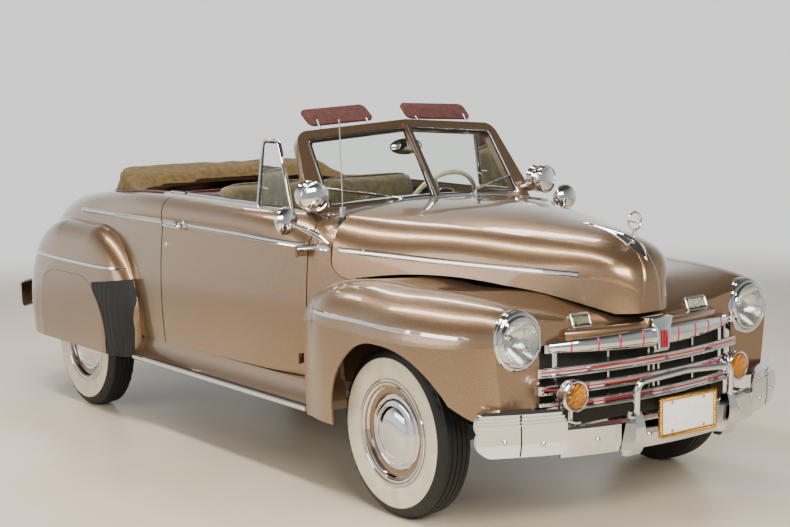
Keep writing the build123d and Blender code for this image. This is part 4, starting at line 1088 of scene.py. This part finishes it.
innerMirrorLook = {
    "seat": (0.0, 0.955, 1.470), "facing": (0.05, 1, -0.02), "stretch": (2.1, 1, 0.86), "stalk": 0.006,
    "back": [(0.0001, -0.018), (0.020, -0.016), (0.034, -0.011), (0.043, -0.004), (0.046, 0.003),
             (0.043, 0.006)], "glass": [(0.043, 0.006), (0.042, 0.005), (0.0001, 0.005)],
    "through": ((0.940, 1.476), (0.945, 1.500), (0.962, 1.530), (0.975, 1.562))}  # as station and height


def makeInnerMirror():
    look = innerMirrorLook
    shape = bmesh.new()
    seat = seatOn(1, look["seat"], look["facing"])
    turned(shape, seat, [look["back"], look["glass"]], 48)
    bmesh.ops.scale(shape, vec=look["stretch"], space=Matrix.Translation(-seat.translation),
                    verts=shape.verts)
    tubeThrough(shape, [place(0, *spot) for spot in look["through"]], look["stalk"])
    finishPiece("inner_mirror", shape, "windshield_frame", [plating, flutedMirror], 30)


# Outline by (station, z), and the frame's section as (across, outward)
ventLook = {
    "x": 0.680, "foot": 1.215, "tilt": (0.9916, 0.1297), "sealInset": 0.009, "paneInset": 0.004,
    "outline": ((0.9190, 1.212), (1.0, 1.212), (1.1, 1.212), (1.219, 1.212), (1.219, 1.30), (1.2187, 1.42),
                (1.2185, 1.510), (1.204, 1.5245), (1.15, 1.5245), (1.100, 1.5245), (1.0800, 1.5080),
                (1.02, 1.397), (0.97, 1.305)),
    "section": [(-0.0065, -0.009), (-0.0065, 0.006), (-0.003, 0.010), (0.003, 0.010), (0.0065, 0.006),
                (0.0065, -0.009)], "latch": ((1.212, 1.30, -0.012), (1.200, 1.30, -0.024),
                                             (1.170, 1.296, -0.026))}


# A point on the leaning quarter light: station, height, and outward of its middle
def onVent(side, station, z, out=0.0):
    upright, lean = ventLook["tilt"]
    rise = z - ventLook["foot"]
    return place(side * (ventLook["x"] - lean * rise + upright * out), station,
                 ventLook["foot"] + upright * rise + lean * out)


def makeVent(side, word):
    look = ventLook
    node = "vent_" + word
    outward = Vector((side * look["tilt"][0], 0, look["tilt"][1]))
    path = [(onVent(side, station, z), outward) for station, z in look["outline"]]
    piece = strip("quarter_light_frame_" + word, look["section"], path, node, plating, 40, True)
    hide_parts(node)
    middle = sum((point for point, _ in path), Vector()) / len(path)
    inner = [(point + (middle - point).normalized() * look["sealInset"], normal) for point, normal in path]
    strip("quarter_light_seal_" + word, roundProfile(0.005, 8), inner, node, sealRubber, 60, True)
    pane = bmesh.new()
    rim = [point + (middle - point).normalized() * look["paneInset"] for point, _ in path]
    face = pane.faces.new([pane.verts.new(point) for point in rim])
    bmesh.ops.solidify(pane, geom=[face], thickness=0.004)
    finishPiece("quarter_light_pane_" + word, pane, node, [clearGlass], 40)
    latch = bmesh.new()
    tubeThrough(latch, [onVent(side, *spot) for spot in look["latch"]], 0.0045)
    finishPiece("quarter_light_latch_" + word, latch, node, [plating], 60)


# Posts as x, foot and head, the last two by (station, z)
visorLook = {
    "size": (0.384, 0.112, 0.011), "corner": 0.030, "lean": -50, "turn": 4, "seat": (0.296, 1.106, 1.630),
    "posts": ((0.150, (1.008, 1.556), (1.074, 1.609)), (0.440, (1.020, 1.550), (1.060, 1.611))),
    "post": 0.006}


# Cloth boards raised over the windscreen, on plated posts
def makeVisors():
    look = visorLook
    boards, posts = bmesh.new(), bmesh.new()
    for side in (1, -1):
        tilt = Matrix.Rotation(math.radians(look["lean"]), 4, "X")
        turn = Matrix.Rotation(math.radians(side * look["turn"]), 4, "Y")
        upright = Matrix.Rotation(math.radians(90), 4, "X")
        x, station, z = look["seat"]
        board = Matrix.Translation(place(side * x, station, z)) @ tilt @ turn @ upright
        roundedBlock(boards, board, *look["size"], look["corner"], 0.003, 0, 6)
        for x, foot, head in look["posts"]:
            middle = ((foot[0] + head[0]) / 2, (foot[1] + head[1]) / 2)
            tubeThrough(posts, [place(side * x, *spot) for spot in (foot, middle, head)], look["post"])
    piece = finishPiece("cloth_visors", boards, "sun_visors", [visorBoard], 50)
    finishPiece("visor_posts", posts, "sun_visors", [plating], 50)
    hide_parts("sun_visors")


for side, word in ((1, "left"), (-1, "right")):
    makeScreenTrim(side, word)
    makeWiper(side, word)
bothSides(makeVent)
for build in (makeScreenFoot, makeInnerMirror, makeVisors):
    build()
print("windscreen dressed")


# Seats, boot cover and side panels

padLook = {"cuts": 29, "square": 9, "pinch": 0.018, "furrow": 0.012, "furrowWidth": 0.11, "piping": 0.0055,
           "pipingShare": 0.985}  # square sets how boxy the outline is


# The piped seam round a pad
def addPiping(shape, frameAt, size):
    across, up, thick = size
    rim = []
    for i in range(64):
        c, s = math.cos(math.tau * i / 64), math.sin(math.tau * i / 64)
        reach = (abs(c) ** padLook["square"] + abs(s) ** padLook["square"]) ** (-1 / padLook["square"])
        reach *= padLook["pipingShare"] / 2
        rim.append((frameAt @ Vector((c * reach * across, s * reach * up, thick * 0.20)),
                    frameAt.to_3x3() @ Vector((0, 0, 1))))
    sweep(shape, roundProfile(padLook["piping"], 8), framesThrough(rim, True), True)


# A crowned pad: size is across, up and thick; channels are sewn into its front
def makePad(name, frameAt, size, crown, channels, material, node):
    across, up, thick = size
    square, pinch = padLook["square"], padLook["pinch"]
    shape = bmesh.new()
    bmesh.ops.create_cube(shape, size=2.0)
    bmesh.ops.subdivide_edges(shape, edges=shape.edges[:], cuts=padLook["cuts"], use_grid_fill=True)
    for corner in shape.verts:
        u, v, w = corner.co
        reach = max(abs(u), abs(v))
        rounding = reach / max((abs(u) ** square + abs(v) ** square) ** (1 / square), 1e-6)
        edge = max(0.0, 1 - reach ** 7) ** 0.4
        x = u * rounding * (across / 2) * (1 - 2 * pinch * (1 - v * v) * abs(u) ** 3)
        y = v * rounding * (up / 2) * (1 - 2 * pinch * (1 - u * u) * abs(v) ** 3)
        z = w * thick / 2 * (0.42 + 0.58 * edge)
        if w > 0:
            z += w * crown * (1 - u * u) ** 0.6 * (1 - v * v) ** 0.6
            phase = (u + 1) / 2 * channels
            if 0.4 < phase < channels - 0.4:
                offset = (phase - round(phase)) / padLook["furrowWidth"]
                z -= w * padLook["furrow"] * math.exp(-offset ** 2) * edge
        corner.co = frameAt @ Vector((x, y, z))
    addPiping(shape, frameAt, size)
    piece = finishPiece(name, shape, node, [material], 80)
    return piece


# Plain boards under and behind the pads; sizes are width, height, depth, corner and ease
def makeBoard(name, sides, spot, facing, outward, sizes, segments, node):
    shape = bmesh.new()
    for side in sides:
        roundedBlock(shape, seatOn(side, spot, facing, outward), *sizes, 0, segments)
    finishPiece(name, shape, node, [seatHide], 40)


seatSizes = {"frontBack": (0.594, 0.610, 0.105), "frontCushion": (1.19, 0.455, 0.120),
             "rearBack": (1.20, 0.590, 0.100), "rearCushion": (1.20, 0.340, 0.130)}


def makeSeats():
    for side, word in ((1, "left"), (-1, "right")):
        lean = seatOn(side, (0.301, 1.690, 0.980), (0, -1, 0.15), (0, 0.15, 1))
        makePad("seat_back_" + word, lean, seatSizes["frontBack"], 0.022, 6, seatCloth, "front_seat")
    cushion = seatOn(1, (0, 1.365, 0.575), (0, 0.04, 1), (0, 1, 0))
    pad = makePad("seat_cushion", cushion, seatSizes["frontCushion"], 0.024, 12, seatCloth, "front_seat")
    makeBoard("seat_base", (1,), (0, 1.385, 0.490), (0, 0, 1), (0, 1, 0), (1.12, 0.40, 0.055, 0.02, 0.004),
              4, "front_seat")
    makeBoard("seat_back_boards", (1, -1), (0.301, 1.742, 0.960), (0, 1, -0.05), (0, 0.05, 1),
              (0.575, 0.580, 0.016, 0.06, 0.005), 6, "front_seat")
    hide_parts("front_seat")
    rearLean = seatOn(1, (0, 2.435, 0.905), (0, -1, 0.18), (0, 0.18, 1))
    rear = makePad("rear_seat_back", rearLean, seatSizes["rearBack"], 0.022, 10, seatHide, "rear_seat")
    rearFlat = seatOn(1, (0, 2.165, 0.560), (0, -0.04, 1), (0, 1, 0))
    makePad("rear_seat_cushion", rearFlat, seatSizes["rearCushion"], 0.022, 10, seatHide, "rear_seat")
    makeBoard("rear_seat_base", (1,), (0, 2.165, 0.480), (0, 0, 1), (0, 1, 0),
              (1.14, 0.32, 0.040, 0.02, 0.004), 4, "rear_seat")
    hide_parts("rear_seat")


coverLook = {
    "voxel": 0.013, "fold": 0.010, "foldLength": 0.16, "crease": 0.0035, "creases": 28, "sink": 0.004,
    "seat": 1.204, "flatTo": 1.225, "fullOver": 0.05, "armsTo": 2.42, "armsOver": 0.32, "armsShare": 0.40}


# The folded roof's solid as an even, softened mesh
def evenCover():
    shape = bmesh.new()
    shape.from_mesh(nodes["folded_top"].data)
    bmesh.ops.remove_doubles(shape, verts=shape.verts, dist=0.0001)
    mesh = bpy.data.meshes.new("boot_cover_solid")
    shape.to_mesh(mesh)
    shape.free()
    solid = bpy.data.objects.new("boot_cover_solid", mesh)
    bpy.context.scene.collection.objects.link(solid)
    remesh = solid.modifiers.new("even", "REMESH")
    remesh.mode = "VOXEL"
    remesh.voxel_size = coverLook["voxel"]
    soften = solid.modifiers.new("soften", "SMOOTH")
    soften.iterations = 9
    soften.factor = 0.6
    even = bmesh.new()
    even.from_object(solid, bpy.context.evaluated_depsgraph_get())
    bpy.data.objects.remove(solid)
    even.normal_update()
    return even


# Cloth cover drawn over the folded top, lower along its arms, with folds and creases
def makeBootCover():
    look = coverLook
    even = evenCover()
    for corner in even.verts:
        at = corner.co * (1 / look["foldLength"])
        fold = noise.noise(Vector((at.x * 1.2, at.y * 1.2, at.z * 2.6)))
        crease = noise.noise(corner.co * look["creases"])
        rise = max(0.0, min(1.0, (corner.co.z - look["flatTo"]) / look["fullOver"]))
        gather = max(0.0, min(1.0, (corner.co.y - frontAxleY - look["armsTo"]) / look["armsOver"]))
        full = look["armsShare"] + (1 - look["armsShare"]) * gather * gather * (3 - 2 * gather)
        corner.co.z = look["seat"] + (corner.co.z - look["seat"]) * full
        lift = look["fold"] * fold + look["crease"] * crease - look["sink"]
        corner.co += corner.normal * lift * (0.35 + 0.65 * rise)
    piece = finishPiece("boot_cover", even, "folded_top", [topCloth], 80)
    smooth = piece.modifiers.new("finer", "SUBSURF")
    smooth.levels = smooth.render_levels = 1
    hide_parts("folded_top")


weltLook = {
    "radius": 0.0065, "line": ((0.700, 2.14), (0.704, 2.30), (0.704, 2.46), (0.700, 2.60), (0.680, 2.72),
                               (0.640, 2.82), (0.560, 2.89), (0.430, 2.925), (0.2, 2.93), (0.0, 2.93))}


# Maroon welt round the cover's lower edge
def makeCoverWelt():
    guides = weltLook["line"]
    line = [place(x, s, 1.9) for x, s in guides] + [place(-x, s, 1.9) for x, s in reversed(guides[:-1])]
    found = layOn("quarter_left quarter_right rear_deck", spread(line, 90), (0, 0, -1))
    pairs = [(point + Vector((0, 0, 0.004)), Vector((0, 0, 1))) for point, _ in found]
    strip("boot_cover_welt", roundProfile(weltLook["radius"], 8), pairs, "folded_top", seatHide, 60)


# Door pull and window crank run through (x, station, z) points
panelLook = {
    "foot": 0.515, "height": 0.615, "deepest": 0.735, "open": 0.700, "stand": 0.009, "thick": 0.005,
    "pull": ((0.690, 1.30, 0.86), (0.672, 1.31, 0.86), (0.668, 1.36, 0.86), (0.672, 1.41, 0.86)),
    "crank": ((0.680, 1.62, 0.80), (0.664, 1.63, 0.78), (0.660, 1.65, 0.73), (0.645, 1.65, 0.725)),
    "rose": [(0.022, 0.0), (0.022, 0.006), (0.014, 0.012), (0.0001, 0.014)], "bar": 0.006}


# A patch of trim laid on the inside of a door or quarter, with a roll and a sewn line
def makeTrimPatch(side, word, label, start, end):
    look = panelLook
    node = label + "_" + word
    shape = bmesh.new()
    grid = bmesh.ops.create_grid(shape, x_segments=30, y_segments=18, size=0.5)["verts"]
    for corner in grid:
        station = start + (end - start) * (corner.co.x + 0.5)
        z = look["foot"] + look["height"] * (corner.co.y + 0.5)
        found = meet(node, place(side * 0.30, station, z), (side, 0, 0))
        wide = min(side * found[0].x, look["deepest"]) if found else look["open"]
        roll = 0.006 * math.exp(-((z - 0.93) / 0.012) ** 2)
        roll += 0.0035 * math.exp(-((z - 0.70 - 0.08 * math.sin(station * 3)) / 0.008) ** 2)
        corner.co = place(side * (wide - look["stand"] - roll), station, z)
    bmesh.ops.solidify(shape, geom=shape.faces[:], thickness=look["thick"])
    finishPiece("inner_panel_" + node, shape, node, [seatHide], 60)


def makeInnerPanel(side, word):
    look = panelLook
    makeTrimPatch(side, word, "door", 0.935, 1.900)
    makeTrimPatch(side, word, "quarter", 1.985, 2.360)
    pull = bmesh.new()
    tubeThrough(pull, spotsOn(side, look["pull"]), look["bar"])
    turned(pull, seatOn(side, (0.692, 1.62, 0.80), (-1, 0, 0)), [look["rose"]], 32)
    tubeThrough(pull, spotsOn(side, look["crank"]), look["bar"])
    finishPiece("door_pull_" + word, pull, "door_" + word, [plating], 40)


makeSeats()
makeBootCover()
makeCoverWelt()
bothSides(makeInnerPanel)
print("cabin trimmed")


# Dashboard and steering wheel

dialLook = {
    "dials": ((0.360, 0.062), (0.245, 0.034), (0.475, 0.034), (-0.360, 0.050)), "z": 1.118, "bars": 9,
    "barPitch": 0.02, "barHalf": 0.045, "bar": 0.0035, "pointer": 0.0012}  # dials as x and radius


# Bezels with a pointer each, their faces, and bright bars over the middle
def makeDials():
    look = dialLook
    shape, faces = bmesh.new(), bmesh.new()
    for x, radius in look["dials"]:
        found = meet("dashboard", place(x, 1.5, look["z"]), (0, -1, 0))
        seat = framed(found[0] + Vector((0, 0.004, 0)), (0, 1, 0), (0, 0, 1))
        bezel = [(radius + 0.006, -0.012), (radius + 0.006, 0.003), (radius + 0.002, 0.007),
                 (radius - 0.002, 0.003)]
        turned(shape, seat, [bezel], 48)
        turned(faces, seat, [[(radius, 0.000), (0.0001, 0.000)]], 48)
        tubeThrough(shape, [seat @ Vector((radius * t, radius * t, 0.003)) for t in (0, 0.3, 0.6)],
                    look["pointer"])
    for i in range(look["bars"]):
        x = look["barPitch"] * (i - (look["bars"] - 1) / 2)
        at = meet("dashboard", place(x, 1.5, look["z"]), (0, -1, 0))[0] + Vector((0, 0.002, 0))
        tubeThrough(shape, [at + Vector((0, 0, look["barHalf"] * t)) for t in (-1, 0, 1)], look["bar"])
    finishPiece("dial_bezels", shape, "dashboard", [plating], 40)
    finishPiece("dial_faces", faces, "dashboard", [ivory], 40)


hornLook = {
    "seat": (0.360, 1.160, 1.140), "rake": 30, "radius": 0.105, "wire": 0.0045, "ahead": 0.010,
    "spoke": 0.004, "button": [(0.032, 0.006), (0.030, 0.016), (0.020, 0.023), (0.0001, 0.025)]}


def makeHornRing():
    look = hornLook
    rake = math.radians(look["rake"])
    hub = seatOn(1, look["seat"], (0, math.cos(rake), math.sin(rake)))
    shape = bmesh.new()
    turned(shape, hub, [look["button"]], 48)
    turned(shape, hub, [wireRing(look["radius"], look["ahead"], look["wire"], 10)], 72)
    for turn in (0.5, math.pi - 0.5):
        spots = [hub @ Vector((math.cos(turn) * r, math.sin(turn) * r, 0.012))
                 for r in (0.028, 0.06, 0.104)]
        tubeThrough(shape, spots, look["spoke"])
    finishPiece("horn_ring", shape, "steering_wheel", [plating], 40)


# Ornaments: bonnet spear, nose ridge, aerial base, boot handle

spearLook = {
    "from": -0.655, "to": -0.290, "width": 0.078, "height": 0.020, "beak": 0.18,
    "section": ((-0.5, -0.2), (-0.5, 0.1), (-0.30, 0.45), (-0.10, 0.95), (0.10, 0.95), (0.30, 0.45),
                (0.5, 0.1), (0.5, -0.2)), "ringSeat": (0, -0.588, 1.214), "ring": 0.036, "wire": 0.0045,
    "foot": ((0, -0.036), (0.002, -0.050), (0.006, -0.064)),
    "dart": [(0.0001, -0.060), (0.0035, -0.045), (0.0075, -0.015), (0.0095, 0.005), (0.0070, 0.018),
             (0.0001, 0.024)]}


# Beak-shaped base that thins toward the back, with an upright ring and a spear through it
def makeBonnetSpear():
    look = spearLook
    shape = bmesh.new()
    stations = [look["from"] + (look["to"] - look["from"]) * i / 24 for i in range(25)]
    frames = framesThrough(layOn("bonnet", [place(0, station, 1.9) for station in stations], (0, 0, -1)))
    for i, frameAt in enumerate(frames):
        t = i / (len(frames) - 1)
        share = math.sqrt(t / look["beak"]) if t < look["beak"] else (1 - t) / (1 - look["beak"])
        frames[i] = frameAt @ Matrix.Diagonal((max(share, 0.08), max(share, 0.25), 1, 1))
    sweep(shape, [(x * look["width"], y * look["height"]) for x, y in look["section"]], frames)
    seat = seatOn(1, look["ringSeat"], (0, -1, 0))
    centre = place(*look["ringSeat"])
    turned(shape, seat, [wireRing(look["ring"], 0.0, look["wire"], 12)], 64)
    tubeThrough(shape, [centre + Vector((0, y, z)) for y, z in look["foot"]], 0.009)
    tubeThrough(shape, [centre + Vector((x, 0, 0)) for x in (-0.034, -0.012, 0.012, 0.034)], 0.0022)
    turned(shape, seat, [look["dart"]], 24)
    piece = finishPiece("bonnet_spear", shape, "bonnet_ornament", [plating], 35)
    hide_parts("bonnet_ornament")


ridgeLook = {"foot": 0.862, "height": 0.225, "half": 0.058, "taper": 0.030, "lift": 0.0045}


# Raised rib down the middle of the bonnet's nose
def makeNoseRidge():
    shape = bmesh.new()
    grid = bmesh.ops.create_grid(shape, x_segments=14, y_segments=26, size=0.5)["verts"]
    for corner in grid:
        up = corner.co.y + 0.5
        half = ridgeLook["half"] - ridgeLook["taper"] * up
        start = place(2 * half * corner.co.x, -1.4, ridgeLook["foot"] + ridgeLook["height"] * up)
        found = meet("bonnet", start, (0, 1, 0))
        lift = ridgeLook["lift"] * max(0.0, 1 - (2 * abs(corner.co.x)) ** 8)
        corner.co = found[0] + found[1] * lift if found else corner.co
    finishPiece("nose_ridge", shape, "bonnet", [enamel], 50)


aerialLook = {"foot": (-0.600, 0.627, 1.6), "top": (-0.600, 0.640, 1.622),
              "base": [(0.024, -0.004), (0.023, 0.004), (0.015, 0.016), (0.0125, 0.034), (0.008, 0.040),
                       (0.0035, 0.042)],
              "tip": [(0.0026, -0.004), (0.0045, -0.002), (0.0045, 0.002), (0.0001, 0.0045)]}


def makeAerialBase():
    found = meet("cowl", place(*aerialLook["foot"]), (0, 0, -1))
    seat = framed(found[0], (0, 0.03, 1), (1, 0, 0))
    lathe("aerial_base", seat, [aerialLook["base"]], "aerial", [sealRubber], 40, 32)
    top = seatOn(1, aerialLook["top"], (0, 0, 1), (1, 0, 0))
    lathe("aerial_tip", top, [aerialLook["tip"]], "aerial", [plating], 60, 16)


bootLook = {"station": 3.745, "bar": ((-0.055, 0.018), (-0.025, 0.030), (0.025, 0.030), (0.055, 0.018)),
            "radius": 0.0085,
            "boss": [(0.026, -0.002), (0.025, 0.005), (0.016, 0.010), (0.011, 0.016), (0.010, 0.032),
                     (0.0001, 0.034)]}  # bar as x and rise off the lid


def makeBootHandle():
    look = bootLook
    shape = bmesh.new()
    pairs = layOn("trunk_lid", [place(x, look["station"], 1.9) for x, _ in look["bar"]], (0, 0, -1))
    lifted = [point + normal * out for (point, normal), (_, out) in zip(pairs, look["bar"])]
    tubeThrough(shape, lifted, look["radius"])
    middle, normal = layOn("trunk_lid", [place(0, look["station"], 1.9)], (0, 0, -1))[0]
    turned(shape, framed(middle, normal, (1, 0, 0)), [look["boss"]], 32)
    finishPiece("boot_handle", shape, "trunk_lid", [plating], 40)


for build in (makeDials, makeHornRing, makeBonnetSpear, makeNoseRidge, makeAerialBase, makeBootHandle):
    build()
print("details made")


# Floor, lights and camera

studio = {"floorRadius": 9.0, "fadeFrom": 5.2, "fadeTo": 8.6, "wallColour": "#f2f3f1", "ceiling": "#5c5a56",
          "lampTint": (1.0, 0.94, 0.89), "darkEnd": 0.5, "brightEnd": 1.3}


# Sealed pale tile floor that fades into the studio's pale wall
def makeFloor():
    shape = bmesh.new()
    bmesh.ops.create_circle(shape, cap_ends=True, segments=96, radius=studio["floorRadius"])
    mesh = bpy.data.meshes.new("studio_floor")
    shape.to_mesh(mesh)
    shape.free()
    floor = bpy.data.objects.new("studio_floor", mesh)
    bpy.context.scene.collection.objects.link(floor)
    material, shader = newMaterial("SealedFloorTile", Roughness=0.32)
    stain = objectTexture(material, "ShaderNodeTexNoise", 900, Detail=6.0)
    tint(material, shader, stain.outputs["Fac"], "#eadbbb", "#f4ead6")
    coordinates = addNode(material, "ShaderNodeTexCoord")
    radius = addNode(material, "ShaderNodeVectorMath", links={0: coordinates.outputs["Object"]},
                     operation="LENGTH")
    fade = addNode(material, "ShaderNodeMapRange", links={"Value": radius.outputs["Value"]},
                   interpolation_type="SMOOTHSTEP", From_Min=studio["fadeFrom"], From_Max=studio["fadeTo"],
                   To_Min=1.0, To_Max=0.0)
    material.node_tree.links.new(fade.outputs[0], shader.inputs["Alpha"])
    mesh.materials.append(material)


# Pale walls all round and a darker ceiling, as in a large studio
def makeWorld():
    world = bpy.data.worlds.new("studio_walls")
    bpy.context.scene.world = world
    world.use_nodes = True
    world.node_tree.nodes.clear()
    generated = addNode(world, "ShaderNodeTexCoord").outputs["Generated"]
    split = addNode(world, "ShaderNodeSeparateXYZ", links={0: generated})
    colour = colourRamp(world, split.outputs["Z"], studio["wallColour"], studio["ceiling"], 0.18, 0.62)
    shade = addNode(world, "ShaderNodeMapRange", links={"Value": split.outputs["Y"]}, From_Min=-0.85,
                    From_Max=0.15, To_Min=studio["darkEnd"], To_Max=studio["brightEnd"])
    background = addNode(world, "ShaderNodeBackground",
                         links={"Color": colour, "Strength": shade.outputs[0]})
    addNode(world, "ShaderNodeOutputWorld", links={"Surface": background.outputs[0]})


def addSoftbox(name, at, aim, size, power):
    light = bpy.data.lights.new(name, "AREA")
    light.shape = "RECTANGLE"
    light.size, light.size_y = size
    light.energy = power
    light.color = studio["lampTint"]
    lamp = bpy.data.objects.new(name, light)
    lamp.location = at
    lamp.rotation_euler = (Vector(aim) - Vector(at)).to_track_quat("-Z", "Y").to_euler()
    bpy.context.scene.collection.objects.link(lamp)


view = {
    "lens": 69.8, "sensor": 36, "at": (-4.4203, -6.5983, 1.8426), "right": (0.80641, -0.59103, -0.01972),
    "up": (0.09020, 0.08998, 0.99185), "back": (-0.58444, -0.80162, 0.12587)}


# Seen from the car's right front quarter, a little above the bonnet
def makeCamera():
    camera = bpy.data.cameras.new("studio_camera")
    camera.lens = view["lens"]
    camera.sensor_width = view["sensor"]
    sight = bpy.data.objects.new("studio_camera", camera)
    turn = Matrix((view["right"], view["up"], view["back"])).transposed().to_4x4()
    sight.matrix_world = Matrix.Translation(view["at"]) @ turn
    bpy.context.scene.collection.objects.link(sight)
    bpy.context.scene.camera = sight


softboxes = (
    ("overhead_strip_near", (-1.9, -0.6, 4.3), (0, -0.6, 0.7), (7.0, 0.5), 190),
    ("overhead_strip_far", (0.9, 2.2, 4.4), (0, 2.0, 0.7), (5.0, 0.5), 130),
    ("front_box", (-1.5, -6.5, 3.2), (0, -1.8, 0.7), (4.0, 1.6), 380),
    ("side_box", (-6.5, 0.5, 3.0), (0, 0.2, 0.8), (5.0, 1.8), 110))  # name, place, aim, size, watts

makeFloor()
makeWorld()
for softbox in softboxes:
    addSoftbox(*softbox)
makeCamera()
print("studio ready")
